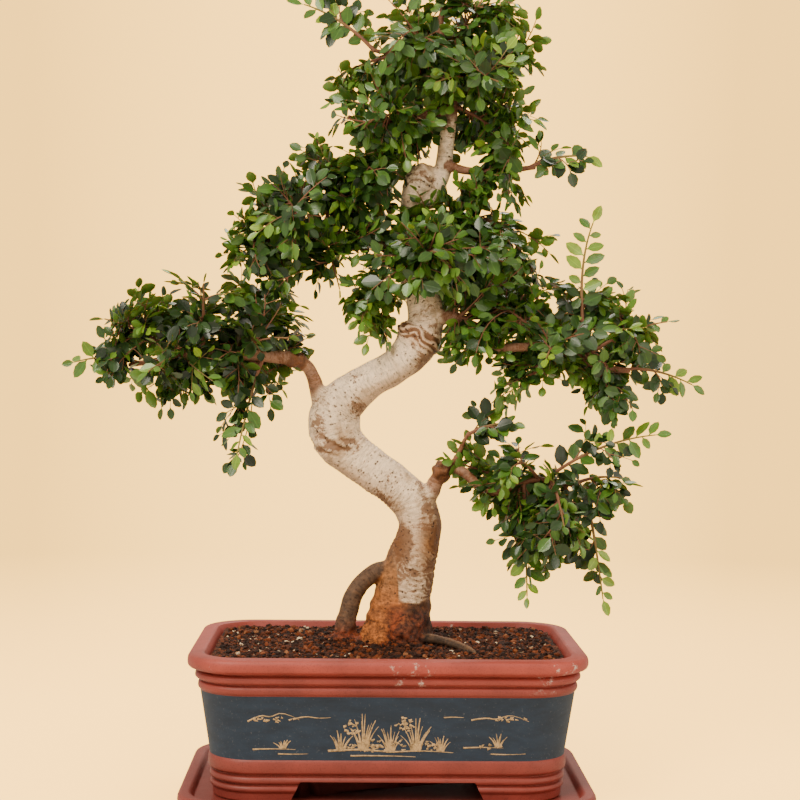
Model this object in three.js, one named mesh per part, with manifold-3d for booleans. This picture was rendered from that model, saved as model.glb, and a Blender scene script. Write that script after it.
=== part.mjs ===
// Elm bonsai with its clay pot and drip tray.
// Millimetres, +Z up, +X to the right of the front view and +Y away from it.
// The origin is the centre of the tray's flat underside.
import * as THREE from "three";
import { mergeVertices } from "three/addons/utils/BufferGeometryUtils.js";
import Module from "manifold-3d";

const wasm = await Module();
wasm.setup();

// Clearance kept between pieces that rest on or sit in one another
const SEAT_GAP = 0.3;

// Drip tray: a plate with a raised lip round a sunken floor
const TRAY = { width: 340, depth: 240, corner: 44, height: 16, floor: 11, lip: 11, taper: 4 };

// Pot: outer size over the rim, the height of its foot and of its rim, and its floor
const POT = {
  width: 326,
  depth: 226,
  corner: 42,
  foot: TRAY.floor + SEAT_GAP,
  rim: 128,
  underside: 28,
  floor: 38,
};
const FOOT_GAP = { frontTop: 70, frontFoot: 78, sideTop: 48, sideFoot: 55 };
const DRAIN = { x: 78, radius: 11, screen: 32, thickness: 1.2, mesh: 11 };

// The tree's zero height inside the pot, and how far over it the soil fills the pot
const SOIL = {
  level: 122,
  fill: 3,
  mound: 2,
  moundReach: 62,
  rootMound: 6,
  rootReach: 20,
  grain: 1.3,
  columns: 12,
  rows: 8,
};

// Leaves: length and breadth of a full-grown blade, and its thickness along the rib
const LEAF = { length: 20, breadth: 12, thickness: 1.3, smallest: 0.86, variation: 0.26 };
const SEED = 20;

const RED_CLAY = { color: 0xa5503f, roughness: 0.6, metalness: 0 };
const BARK = { color: 0xb39877, roughness: 0.85, metalness: 0 };
const EARTH = { color: 0x4a2c1f, roughness: 1, metalness: 0 };
const SCREEN = { color: 0x2c2c2a, roughness: 0.6, metalness: 0 };
const FOLIAGE = { color: 0x35521f, roughness: 0.45, metalness: 0 };

// Limbs: points along the middle of each, as x, y, height over the soil, and radius.
const LIMBS = {
  trunk: [
    [6, 0, -24, 22],
    [7, 0, -8, 32],
    [7, 0, 4, 32.5],
    [9, 1, 24, 28.5],
    [12, 2, 46, 24],
    [18, 3, 69, 20.5],
    [24, 4, 87, 19.5],
    [27.5, 5, 104, 18.8],
    [21, 6, 123, 18.2],
    [4, 8, 139, 17.5],
    [-13, 9, 150, 17.5],
    [-30, 10, 162, 19.5],
    [-42.5, 10, 174, 22],
    [-48, 9, 190, 23],
    [-43, 7, 206, 20.2],
    [-30, 5, 217, 16.5],
    [-14, 2, 228, 15],
    [6, -1, 240, 15.5],
    [20, -3, 253, 17.8],
    [26, -4, 264, 18.6],
    [30, -4, 273, 15.3],
    [30, -2, 286, 14.5],
    [23, 2, 309, 13.5],
    [16, 5, 334, 12.6],
    [17, 6, 360, 12],
    [20, 5, 379, 12],
    [24, 4, 393, 13.6],
    [25.5, 3, 402, 12.8],
    [25, 3, 410, 9],
  ],
  leader: [
    [28, 3, 378, 9],
    [37, 3, 391, 8],
    [43, 3, 404, 7.4],
    [45, 2, 417, 7.2],
    [46, 1, 430, 7],
    [48, 0, 444, 6.4],
    [50, 0, 458, 5.8],
    [50, 0, 476, 5],
    [46, 1, 500, 4.2],
    [40, 2, 525, 3.3],
    [42, 2, 545, 2.2],
  ],
  archRoot: [
    [16, 0, 68, 9],
    [0, -2, 66, 8],
    [-11, -3, 63, 7.8],
    [-21, -4, 55, 7.8],
    [-29, -5, 44, 8],
    [-33, -6, 30, 8.6],
    [-35, -6, 14, 10.5],
    [-35, -6, -2, 12],
    [-38, -8, -16, 7],
  ],
  surfaceRoot: [
    [18, -14, 8, 8],
    [32, -20, 10, 4.4],
    [45, -24, 9, 3.8],
    [58, -30, 6, 3.6],
    [69, -40, 2, 3.5],
    [78, -52, -4, 3],
  ],
  backRoot: [
    [6, 14, 4, 12],
    [2, 34, -3, 7],
    [-6, 56, -12, 4],
  ],
  leftRoot: [
    [-12, 8, 0, 12],
    [-34, 18, -10, 7],
    [-62, 24, -20, 3.5],
  ],
  rightRoot: [
    [20, 6, 0, 13],
    [46, 14, -7, 7],
    [80, 18, -18, 3.5],
  ],
  left: [
    [-48, 9, 192, 15],
    [-56, 7, 206, 10.5],
    [-61.5, 4, 219, 7],
    [-65.5, 1, 230, 5.8],
    [-71, -2, 239, 5.6],
    [-82, -5, 244.5, 6],
    [-95, -8, 246, 5.6],
    [-115, -12, 247, 5.2],
    [-150, -16, 247, 4.4],
    [-187, -10, 243, 3.4],
    [-222, -2, 238, 2.2],
  ],
  rightLow: [
    [27, 4, 120, 12],
    [35, 2, 131, 8.4],
    [40, 0, 141, 6.4],
    [46, -2, 150, 6.8],
    [56, -4, 153, 4.8],
    [66, -8, 148, 4.3],
    [77, -12, 138, 4],
    [92, -14, 133, 3.4],
    [105, -15, 138, 3],
    [121, -14, 144, 2.8],
    [146, -12, 142, 2.6],
    [176, -8, 135, 1.8],
  ],
  lowTwig: [
    [48, -3, 151, 4],
    [57, -7, 161, 2.6],
    [62, -8, 173, 2.2],
    [68, -10, 185, 1.6],
  ],
  rightMid: [
    [26, -3, 280, 10],
    [40, -8, 281, 7],
    [55, -14, 280, 5.4],
    [77, -20, 268, 4.7],
    [92, -26, 256, 4.2],
    [107, -28, 256, 4],
    [132, -26, 257, 3.8],
    [156, -22, 251, 3.8],
    [176, -18, 241, 4.2],
    [204, -10, 237, 2.2],
  ],
  midLeft: [
    [17, 5, 336, 10],
    [-4, 10, 343, 6.8],
    [-35, 16, 349, 5.6],
    [-75, 20, 355, 4.6],
    [-108, 18, 361, 2.8],
  ],
  back: [
    [22, 4, 306, 10],
    [20, 22, 308, 6.6],
    [14, 46, 315, 5.2],
    [6, 74, 322, 3],
  ],
  leaderLeft: [
    [49, 0, 457, 4.8],
    [24, -4, 452, 3.5],
    [5, -6, 446, 3.2],
    [-14, -8, 444, 2.8],
    [-38, -10, 449, 2],
  ],
  leaderRight: [
    [44, 1, 412, 4.8],
    [62, -4, 406, 3.5],
    [88, -8, 405, 3],
    [122, -10, 409, 2.2],
  ],
  leaderBack: [
    [46, 1, 435, 4.6],
    [42, 26, 444, 3.2],
    [38, 50, 452, 2],
  ],
  crownRight: [
    [49, 0, 474, 4.4],
    [68, 3, 485, 3],
    [96, 4, 494, 2],
  ],
  crownLeft: [
    [46, 1, 494, 4],
    [16, 4, 503, 2.8],
    [-18, 4, 508, 1.8],
  ],
};

// How many flats a limb has round it
const SIDES = { trunk: 12, left: 7, leader: 6, archRoot: 7, others: 5 };

// Knobs where branches were cut back: x, y, height, radius, and how flat it is.
const KNOBS = [
  [-80, -4, 243, 7.4, 0.85],
  [45, -3, 151, 8.6, 0.9],
  [177, -18, 243, 6, 0.8],
];

// Pads of foliage: the limbs that carry each, its middle and half sizes, and how many
// sprays fill it. The sprays' tips spread evenly over the pad, at PAD.out of its half size
// or up to PAD.deep less, and each starts near the place at PAD.root of the way to its tip.
const PAD = { out: 0.98, deep: 0.14, root: 0.3 };
const PADS = [
  { name: "left", limbs: ["left"], centre: [-156, -4, 254], reach: [98, 80, 64], sprays: 8 },
  { name: "mid_left", limbs: ["midLeft"], centre: [-72, 10, 357], reach: [80, 82, 68], sprays: 6 },
  {
    name: "middle",
    limbs: ["trunk", "back", "rightMid"],
    centre: [44, 12, 322],
    reach: [88, 96, 62],
    sprays: 6,
  },
  {
    name: "crown",
    limbs: ["leader", "leaderLeft", "leaderRight", "leaderBack", "crownRight", "crownLeft"],
    centre: [40, 2, 478],
    reach: [104, 92, 88],
    sprays: 10,
  },
  { name: "right", limbs: ["rightMid"], centre: [152, -14, 262], reach: [96, 82, 62], sprays: 7 },
  { name: "low_right", limbs: ["rightLow"], centre: [134, -12, 128], reach: [72, 68, 48], sprays: 5 },
];

// Long shoots that leave the pads: the limb, the share of its length where the shoot
// starts, and the shoot's tip.
const SHOOTS = [
  { name: "left_droop", limb: "left", start: 0.66, tip: [-126, -46, 166] },
  { name: "left_tip", limb: "left", start: 0.97, tip: [-268, 2, 240] },
  { name: "right_rise", limb: "rightMid", start: 0.84, tip: [170, -16, 362] },
  { name: "right_tip", limb: "rightMid", start: 0.97, tip: [258, -4, 226] },
  { name: "low_droop", limb: "rightLow", start: 0.78, tip: [116, -34, 48] },
  { name: "low_far_droop", limb: "rightLow", start: 0.97, tip: [182, -18, 44] },
  { name: "low_rise", limb: "rightLow", start: 0.86, tip: [222, -34, 184] },
  { name: "low_knob", limb: "lowTwig", start: 0.9, tip: [104, -18, 192] },
  { name: "crown_tip", limb: "crownLeft", start: 0.97, tip: [-76, 4, 546] },
  { name: "crown_branch", limb: "leaderRight", start: 0.94, tip: [164, -14, 418] },
];

// How the leaves stand along a spray: the share of the stem left bare, the leaves on the
// main stem and on each side twig, which buds are twigs, and a twig's share of the stem.
const SPRAY = { bare: 0.3, leaves: 5, twigs: [1, 4], twigLeaves: 3, twigBare: 0.4, twigShare: 0.42 };

// A stem's radii at its root, at a twig's root and at its tip. It rises by a share of its
// length, and sways aside by the first share that leaves it clear.
const STEM = { root: 1.8, twig: 1.1, tip: 0.8, bend: 0.45, lift: 0.16 };
const SWAYS = [0, 0.15, -0.15, 0.3, -0.3, 0.45, -0.45];

// The direction of a leaf or twig from its stem, and how a pad's leaves turn outwards
const GROWTH = { along: 0.62, aside: 0.78, outward: 1.1 };

// A leaf's tries to bend clear, how much it bends at first and more at each, and the room
// that it keeps to its neighbours and, past its foot, to its own stem
const SETTLING = { tries: 14, bend: 0.12, more: 0.05, room: 0.35, stemRoom: 0.1, foot: 0.24 };

// The bud that a leaf or twig opens out of: its width along the stem, and where its upper
// and lower corners lie, as shares of the stem's radius
const BUD = { width: 1.8, sideways: 0.75, upwards: 0.6 };

const UP = new THREE.Vector3(0, 0, 1);

function vector([x, y, z]) {
  return new THREE.Vector3(x, y, z);
}

// Seeded random numbers from 0 to 1 (Mulberry32), so that the tree is always the same.
function randomFrom(seed) {
  let state = seed;
  return () => {
    state = (state + 0x6d2b79f5) | 0;
    let mixed = Math.imul(state ^ (state >>> 15), 1 | state);
    mixed = (mixed + Math.imul(mixed ^ (mixed >>> 7), 61 | mixed)) ^ mixed;
    return ((mixed ^ (mixed >>> 14)) >>> 0) / 4294967296;
  };
}

// A closed geometry as a solid, turned to face outwards.
function solidOf(geometry) {
  geometry.deleteAttribute("normal");
  geometry.deleteAttribute("uv");
  const merged = mergeVertices(geometry, 1e-3);
  const corners = merged.index.array;
  const kept = [];
  for (let i = 0; i < corners.length; i += 3) {
    const [a, b, c] = [corners[i], corners[i + 1], corners[i + 2]];
    if (a !== b && b !== c && c !== a) kept.push([a, b, c]);
  }
  const made = (faces) =>
    new wasm.Manifold(
      new wasm.Mesh({
        numProp: 3,
        vertProperties: merged.attributes.position.array,
        triVerts: new Uint32Array(faces.flat()),
      }),
    );
  const solid = made(kept);
  return solid.volume() < 0 ? made(kept.map(([a, b, c]) => [a, c, b])) : solid;
}

function joined(solids) {
  return solids.reduce((whole, solid) => whole.add(solid));
}

// The largest body of a solid: scraps that a cut leaves loose are dropped.
function largestBody(solid) {
  return solid.decompose().reduce((best, body) => (body.volume() > best.volume() ? body : best));
}

function meshOf(name, solid, finish) {
  const { numProp, vertProperties, triVerts } = solid.getMesh();
  const geometry = new THREE.BufferGeometry();
  const places = new THREE.InterleavedBuffer(vertProperties, numProp);
  geometry.setAttribute("position", new THREE.InterleavedBufferAttribute(places, 3, 0));
  geometry.setIndex(new THREE.BufferAttribute(triVerts, 1));
  const loose = geometry.toNonIndexed();
  loose.computeVertexNormals();
  const mesh = new THREE.Mesh(loose, new THREE.MeshStandardMaterial(finish));
  mesh.name = name;
  return mesh;
}

// A frame of side, along and across at each step of a path, carried along without twist.
function framesAlong(path, steps) {
  const frames = [];
  let side = new THREE.Vector3(1, 0, 0);
  for (let i = 0; i <= steps; i++) {
    const along = path.getTangent(i / steps);
    if (i === 0 && Math.abs(along.x) > 0.9) side.set(0, 1, 0);
    side = side.clone().addScaledVector(along, -side.dot(along)).normalize();
    frames.push({ at: path.getPoint(i / steps), side, along, across: side.clone().cross(along) });
  }
  return frames;
}

function pathOf(points) {
  return new THREE.CatmullRomCurve3(points.map(vector));
}

function radiusOf(points, share) {
  const place = share * (points.length - 1);
  const first = Math.min(Math.floor(place), points.length - 2);
  return THREE.MathUtils.lerp(points[first][3], points[first + 1][3], place - first);
}

// A round limb that follows its points and takes its radius from them. section shapes the
// outline by the share along the limb and the angle round it.
function limbSolid(points, sides, steps, grow = 0, section = () => 1) {
  const frames = framesAlong(pathOf(points), steps);
  const geometry = new THREE.CylinderGeometry(1, 1, 1, sides, steps);
  const position = geometry.attributes.position;
  const local = new THREE.Vector3();
  for (let i = 0; i < position.count; i++) {
    local.fromBufferAttribute(position, i);
    const share = local.y + 0.5;
    const { at, side, along, across } = frames[Math.round(share * steps)];
    const radius = radiusOf(points, share) * section(share, Math.atan2(local.z, local.x)) + grow;
    const onAxis = Math.hypot(local.x, local.z) < 0.5;
    const dome = onAxis ? Math.sign(local.y) * radius * 0.45 : 0;
    const place = at
      .clone()
      .addScaledVector(side, local.x * radius)
      .addScaledVector(across, local.z * radius)
      .addScaledVector(along, dome);
    position.setXYZ(i, place.x, place.y, place.z);
  }
  return solidOf(geometry);
}

// The trunk's outline: root flares at its foot, and long shallow hollows higher up.
function trunkSection(share, angle) {
  const foot = Math.max(0, 1 - share / 0.2);
  const flare = 0.1 * foot * Math.cos(5 * angle + 0.6);
  const hollows = 0.045 * Math.sin(3 * angle + 11 * share) + 0.03 * Math.sin(2 * angle - 23 * share);
  return 1 + flare + hollows;
}

function knobSolid([x, y, z, radius, flat], grow) {
  const knob = new THREE.SphereGeometry(radius + grow, 6, 4);
  knob.scale(1, 1, flat);
  knob.translate(x, y, z);
  return solidOf(knob);
}

// The whole woody tree, or the same grown outwards, which is the space that it needs.
function treeSolid(grow) {
  const limbs = Object.entries(LIMBS).map(([name, points]) => {
    const section = name === "trunk" ? trunkSection : undefined;
    return limbSolid(points, SIDES[name] ?? SIDES.others, points.length - 1, grow, section);
  });
  return joined([...limbs, ...KNOBS.map((knob) => knobSolid(knob, grow))]).translate([
    0,
    0,
    SOIL.level,
  ]);
}

// A rounded rectangle swept up a profile of inset and height. An inset of null lies on the
// middle line, where the shape closes.
function mouldedSolid(width, depth, corner, profile, arcSteps = 3) {
  const around = 4 * (arcSteps + 1);
  const points = profile.map(([inset, z]) => new THREE.Vector2(inset === null ? 0 : 1, z));
  const geometry = new THREE.LatheGeometry(points, around);
  const position = geometry.attributes.position;
  for (let i = 0; i < position.count; i++) {
    const [inset, z] = profile[i % profile.length];
    const turn = Math.floor(i / profile.length) % around;
    const quarter = Math.floor(turn / (arcSteps + 1));
    const angle = ((quarter + (turn % (arcSteps + 1)) / arcSteps) * Math.PI) / 2;
    const radius = Math.max(corner - (inset ?? 0), 3);
    const outX = inset === null ? 0 : width / 2 - inset - radius;
    const outY = inset === null ? 0 : depth / 2 - inset - radius;
    const signX = quarter === 0 || quarter === 3 ? 1 : -1;
    const signY = quarter < 2 ? 1 : -1;
    const x = inset === null ? 0 : signX * outX + radius * Math.cos(angle);
    const y = inset === null ? 0 : signY * outY + radius * Math.sin(angle);
    position.setXYZ(i, x, y, z);
  }
  return solidOf(geometry);
}

function traySolid() {
  const { width, depth, corner, height, floor, lip, taper } = TRAY;
  return mouldedSolid(width, depth, corner, [
    [null, 0],
    [taper + 1, 0],
    [taper, 2],
    [0, height - 5],
    [0.5, height - 2],
    [3, height],
    [lip - 2, height],
    [lip, height - 1.5],
    [lip + 2, floor],
    [null, floor],
  ]);
}

// The pot's inside, drawn in from the rim: inset and height, from the mouth down.
const CAVITY = [
  [15, POT.rim - 0.4],
  [16.5, POT.rim - 3],
  [21, POT.rim - 16],
  [27.5, 46],
  [33, POT.floor],
];

// The moulded outside, from the foot up: beads, the base band, the panel and the rim.
const MOULDING = [
  [21.5, POT.foot],
  [20, POT.foot + 1.4],
  [20, 18],
  [18.2, 19.6],
  [18.2, 23.4],
  [20.8, 25],
  [17.8, 26.6],
  [17.8, 31],
  [20.4, 32.6],
  [17.2, 34.2],
  [16.6, 44.2],
  [17.8, 45.4],
  [9.8, 97.9],
  [8.4, 99],
  [8.2, 104.4],
  [10.8, 106.2],
  [5.8, 108.2],
  [5.8, 112.8],
  [8.6, 114.8],
  [1.2, 117.2],
  [0, 120.2],
  [0, 124.4],
  [3, POT.rim],
];

// A wedge-ended bar through the foot ring, which leaves the four corner feet.
function footGapSolid(top, foot, length) {
  const shape = new THREE.Shape([
    new THREE.Vector2(-foot, POT.foot - 5),
    new THREE.Vector2(foot, POT.foot - 5),
    new THREE.Vector2(top, POT.underside),
    new THREE.Vector2(-top, POT.underside),
  ]);
  const bar = new THREE.ExtrudeGeometry(shape, { depth: length, bevelEnabled: false });
  bar.translate(0, 0, -length / 2);
  bar.rotateX(Math.PI / 2);
  return bar;
}

function drainHoleSolid(x) {
  const hole = new THREE.CylinderGeometry(DRAIN.radius, DRAIN.radius, POT.floor, 10);
  hole.rotateX(Math.PI / 2);
  hole.translate(x, 0, POT.floor / 2 + POT.foot);
  return solidOf(hole);
}

function potSolid() {
  const footInner = [35, POT.foot];
  const clay = mouldedSolid(POT.width, POT.depth, POT.corner, [
    [null, POT.underside],
    [39, POT.underside],
    footInner,
    ...MOULDING,
    ...CAVITY,
    [null, POT.floor],
  ]);
  const front = footGapSolid(FOOT_GAP.frontTop, FOOT_GAP.frontFoot, POT.depth + 20);
  const side = footGapSolid(FOOT_GAP.sideTop, FOOT_GAP.sideFoot, POT.width + 20);
  side.rotateZ(Math.PI / 2);
  return clay
    .subtract(solidOf(front))
    .subtract(solidOf(side))
    .subtract(drainHoleSolid(-DRAIN.x))
    .subtract(drainHoleSolid(DRAIN.x));
}

// A box by its middle and its size
function boxSolid([x, y, z], [width, depth, height]) {
  const box = new THREE.BoxGeometry(width, depth, height);
  box.translate(x, y, z);
  return solidOf(box);
}

// A square of coarse mesh with its openings in rows.
function screenSolid(x) {
  const { screen, thickness, mesh } = DRAIN;
  const z = POT.floor + SEAT_GAP + thickness / 2;
  const pitch = mesh + 3;
  const rows = [-0.5, 0.5];
  const openings = rows.flatMap((column) =>
    rows.map((row) => boxSolid([x + column * pitch, row * pitch, z], [mesh, mesh, 2 * thickness])),
  );
  return boxSolid([x, 0, z], [screen, screen, thickness]).subtract(joined(openings));
}

// The recess that the soil leaves over a screen
function screenRecess(x) {
  const size = DRAIN.screen + 2 * SEAT_GAP;
  return boxSolid([x, 0, POT.floor], [size, size, 2 * (DRAIN.thickness + 2 * SEAT_GAP)]);
}

// The soil's height: level, raised round the trunk and over the arching root, and grainy.
function soilHeight(x, y, random) {
  const { level, fill, mound, moundReach, rootMound, rootReach, grain } = SOIL;
  const fromTrunk = Math.hypot(x - 6, y) / moundReach;
  const fromRoot = Math.hypot(x + 35, y + 6) / rootReach;
  const raised = mound * Math.exp(-(fromTrunk ** 2)) + rootMound * Math.exp(-(fromRoot ** 2));
  return level + fill + raised + grain * (2 * random() - 1);
}

function soilSolid(tree) {
  const random = randomFrom(SEED);
  const { level, columns, rows } = SOIL;
  const block = new THREE.BoxGeometry(POT.width, POT.depth, 2 * level, columns, rows, 1);
  const position = block.attributes.position;
  const heights = new Map();
  for (let i = 0; i < position.count; i++) {
    if (position.getZ(i) < 0) continue;
    const [x, y] = [position.getX(i), position.getY(i)];
    const key = `${x.toFixed(2)} ${y.toFixed(2)}`;
    if (!heights.has(key)) heights.set(key, soilHeight(x, y, random));
    position.setZ(i, heights.get(key));
  }
  const inside = CAVITY.map(([inset, z]) => [inset + SEAT_GAP, z + SEAT_GAP]).reverse();
  const space = mouldedSolid(POT.width, POT.depth, POT.corner, [
    [null, POT.floor + SEAT_GAP],
    ...inside,
    [inside.at(-1)[0], POT.rim + 40],
    [null, POT.rim + 40],
  ]);
  return solidOf(block)
    .intersect(space)
    .subtract(tree)
    .subtract(screenRecess(-DRAIN.x))
    .subtract(screenRecess(DRAIN.x));
}

// The points of a leaf blade: two on each edge, its tip, and its rib on both faces. The
// blade narrows at both ends, is folded a little at the rib, and its tip hangs.
function leafPoints({ at, out, face }, length, breadth, grow = 0) {
  const side = face.clone().cross(out).normalize();
  const half = breadth / 2 + grow;
  const place = (share, spread, rise) =>
    at
      .clone()
      .addScaledVector(out, share * (length + grow))
      .addScaledVector(side, spread * half)
      .addScaledVector(face, rise + breadth * (0.24 * share - 0.34 * share * share));
  const thick = LEAF.thickness / 2 + grow;
  const fold = 0.06 * breadth;
  return {
    left: [place(0.3, -0.9, fold), place(0.68, -0.84, fold)],
    right: [place(0.3, 0.9, fold), place(0.68, 0.84, fold)],
    tip: place(1, 0, 0),
    top: place(0.46, 0, thick),
    bottom: place(0.46, 0, -thick),
  };
}

// A leaf as a solid of its own, from a share of its length, to test what it would cross.
function leafRoom(lie, length, breadth, grow, from = 0) {
  const { left, right, tip, top, bottom } = leafPoints(lie, length, breadth, grow);
  const base = lie.at.clone().lerp(tip, from);
  const edge = [base, left[0], left[1], tip, right[1], right[0]];
  const room = new THREE.SphereGeometry(1, 6, 2);
  const position = room.attributes.position;
  for (let i = 0; i < position.count; i++) {
    const height = position.getY(i);
    const corner = Math.round((Math.atan2(position.getZ(i), -position.getX(i)) / Math.PI) * 3);
    const place = Math.abs(height) > 0.5 ? (height > 0 ? top : bottom) : edge[(corner + 6) % 6];
    position.setXYZ(i, place.x, place.y, place.z);
  }
  return solidOf(room);
}

// The place on the named limbs that lies nearest to a target, at a share of the limb past
// its thick start.
function nearestPlace(names, target) {
  let best = null;
  for (const name of names) {
    const path = pathOf(LIMBS[name]);
    for (let share = 0.2; share < 0.99; share += 0.02) {
      const at = path.getPoint(share);
      const distance = at.distanceTo(target);
      if (best === null || distance < best.distance) best = { at, distance };
    }
  }
  return best.at;
}

// A pad's stems: each runs from the nearest limb to a tip on the pad's outside.
function padStems({ name, limbs, centre, reach, sprays }, random) {
  const middle = vector(centre);
  const turn = Math.PI * (3 - Math.sqrt(5));
  const first = 2 * Math.PI * random();
  return Array.from({ length: sprays }, (_, i) => {
    const height = 1 - (2 * i + 1) / sprays;
    const flat = Math.sqrt(1 - height * height);
    const angle = first + i * turn;
    const outward = new THREE.Vector3(flat * Math.cos(angle), flat * Math.sin(angle), height);
    outward.multiply(vector(reach));
    const tip = middle.clone().addScaledVector(outward, PAD.out - PAD.deep * random());
    const start = nearestPlace(limbs, middle.clone().addScaledVector(outward, PAD.root));
    return { name: `spray_${name}_${i + 1}`, start, tip, middle: middle.clone() };
  });
}

function shootStem({ name, limb, start, tip }) {
  const from = pathOf(LIMBS[limb]).getPoint(start);
  return { name: `spray_${name}`, start: from, tip: vector(tip), middle: null };
}

// The stem's curve rises a little from its limb before it runs to its tip. Sway bends it
// aside, as a share of its length.
function stemCurve({ start, tip }, sway) {
  const reach = start.distanceTo(tip);
  const aside = tip.clone().sub(start).cross(UP).normalize();
  const bend = start.clone().lerp(tip, STEM.bend);
  bend.addScaledVector(UP, STEM.lift * reach).addScaledVector(aside, sway * reach);
  return new THREE.QuadraticBezierCurve3(start, bend, tip);
}

function taperedPoints(curve, from, steps, thick, thin) {
  return Array.from({ length: steps + 1 }, (_, i) => {
    const share = from + ((1 - from) * i) / steps;
    const { x, y, z } = curve.getPoint(share);
    return [x, y, z, THREE.MathUtils.lerp(thick, thin, share)];
  });
}

// The space that a stem needs, grown all round
function stemRoom({ path, from, thick, thin }, grow) {
  return limbSolid(taperedPoints(path, from, 4, thick, thin), 4, 4, grow);
}

// The share of a stem's curve where it comes out of the limb that carries it
function seatShare(curve, space) {
  let [inside, outside] = [0, 0.6];
  for (let i = 0; i < 9; i++) {
    const share = (inside + outside) / 2;
    const rest = stemRoom({ path: curve, from: share, thick: STEM.root, thin: STEM.tip }, 0);
    if (rest.intersect(space).volume() > 1e-6) inside = share;
    else outside = share;
  }
  return outside;
}

// A stem's side, up and along directions at a share of it. A shoot's leaves face the
// front, and a pad's leaves face up and out from its middle.
function stemFrame(path, share, middle) {
  const at = path.getPoint(share);
  const along = path.getTangent(share).normalize();
  const facing = middle
    ? UP.clone().addScaledVector(at.clone().sub(middle).normalize(), GROWTH.outward)
    : new THREE.Vector3(0, -1, 0.35);
  const side = facing.cross(along).normalize();
  return { at, along, side, up: along.clone().cross(side).normalize() };
}

// One try at a leaf's lie: the more tries before it, the further it may bend.
function leafLie(frame, turn, random, bend) {
  const { at, along, side, up } = frame;
  const jitter = () => (2 * random() - 1) * bend;
  const out = along
    .clone()
    .multiplyScalar(turn === 0 ? 1 : GROWTH.along + jitter())
    .addScaledVector(side, turn === 0 ? jitter() : GROWTH.aside * turn)
    .addScaledVector(up, jitter() - 0.06)
    .normalize();
  const face = up.clone().addScaledVector(side, jitter()).addScaledVector(along, jitter());
  face.addScaledVector(out, -face.dot(out)).normalize();
  return { at, out, face };
}

function boxesMeet(a, b) {
  return [0, 1, 2].every((i) => a.min[i] <= b.max[i] && b.min[i] <= a.max[i]);
}

// Keeps every stem and leaf that is already placed, and says whether a new one is clear.
class Placed {
  pieces = [];

  add(owner, solid) {
    this.pieces.push({ owner, solid, box: solid.boundingBox() });
  }

  clear(solid, skipped = () => false) {
    const box = solid.boundingBox();
    return !this.pieces.some(
      (piece) =>
        !skipped(piece.owner) &&
        boxesMeet(box, piece.box) &&
        solid.intersect(piece.solid).volume() > 1e-6,
    );
  }
}

// Where the leaves and twigs of a stem grow: shares of it, with the side that each is on.
function budPlaces(count, from) {
  return Array.from({ length: count }, (_, i) => ({
    share: from + ((1 - from) * (i + 0.2)) / (count + 0.1),
    turn: i % 2 === 0 ? 1 : -1,
  }));
}

// A spray's plan: its main stem with leaves and twigs by turns, and each twig's leaves.
function sprayPlan(stem, sway, space, random) {
  const curve = stemCurve(stem, sway);
  const from = seatShare(curve, space);
  const bare = Math.max(SPRAY.bare, from + 0.12);
  const { middle } = stem;
  const thin = STEM.tip;
  const main = { path: curve, middle, from, thick: STEM.root, thin, leaves: [], twigs: [] };
  for (const [i, bud] of budPlaces(SPRAY.leaves + SPRAY.twigs.length, bare).entries()) {
    if (!SPRAY.twigs.includes(i)) {
      main.leaves.push({ ...bud, size: 1 });
      continue;
    }
    const { at, along, side, up } = stemFrame(curve, bud.share, middle);
    const reach = SPRAY.twigShare * curve.getLength() * (0.85 + 0.3 * random());
    const tip = at
      .clone()
      .addScaledVector(along, GROWTH.along * reach)
      .addScaledVector(side, GROWTH.aside * bud.turn * reach)
      .addScaledVector(up, 0.1 * reach);
    const places = budPlaces(SPRAY.twigLeaves - 1, SPRAY.twigBare);
    const leaves = places.map((place) => ({ ...place, size: 0.9 }));
    const path = new THREE.LineCurve3(at, tip);
    main.twigs.push({ ...bud, path, middle, from: 0, thick: STEM.twig, thin, leaves, twigs: [] });
  }
  return main;
}

// Gives each leaf of a stem a lie that is clear of all that is placed before it. A leaf
// that finds no clear place is left out.
function settleLeaves(stem, name, middle, placed, random) {
  const { tries, bend, more, foot } = SETTLING;
  const buds = [...stem.leaves, { share: 1, turn: 0, size: 1 }];
  stem.settled = [];
  for (const { share, turn, size } of buds) {
    const scale = size * (LEAF.smallest + LEAF.variation * random());
    const [length, breadth] = [LEAF.length * scale, LEAF.breadth * scale];
    const frame = stemFrame(stem.path, share, middle);
    for (let attempt = 0; attempt < tries; attempt++) {
      const lie = leafLie(frame, turn, random, bend + more * attempt);
      const room = leafRoom(lie, length, breadth, SETTLING.room);
      const blade = leafRoom(lie, length, breadth, SETTLING.stemRoom, foot);
      if (!placed.clear(room, (owner) => owner === `${name} stem`)) continue;
      if (!placed.clear(blade)) continue;
      placed.add(`${name} leaf`, room);
      stem.settled.push({ share, turn, points: leafPoints(lie, length, breadth) });
      break;
    }
  }
}

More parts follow.
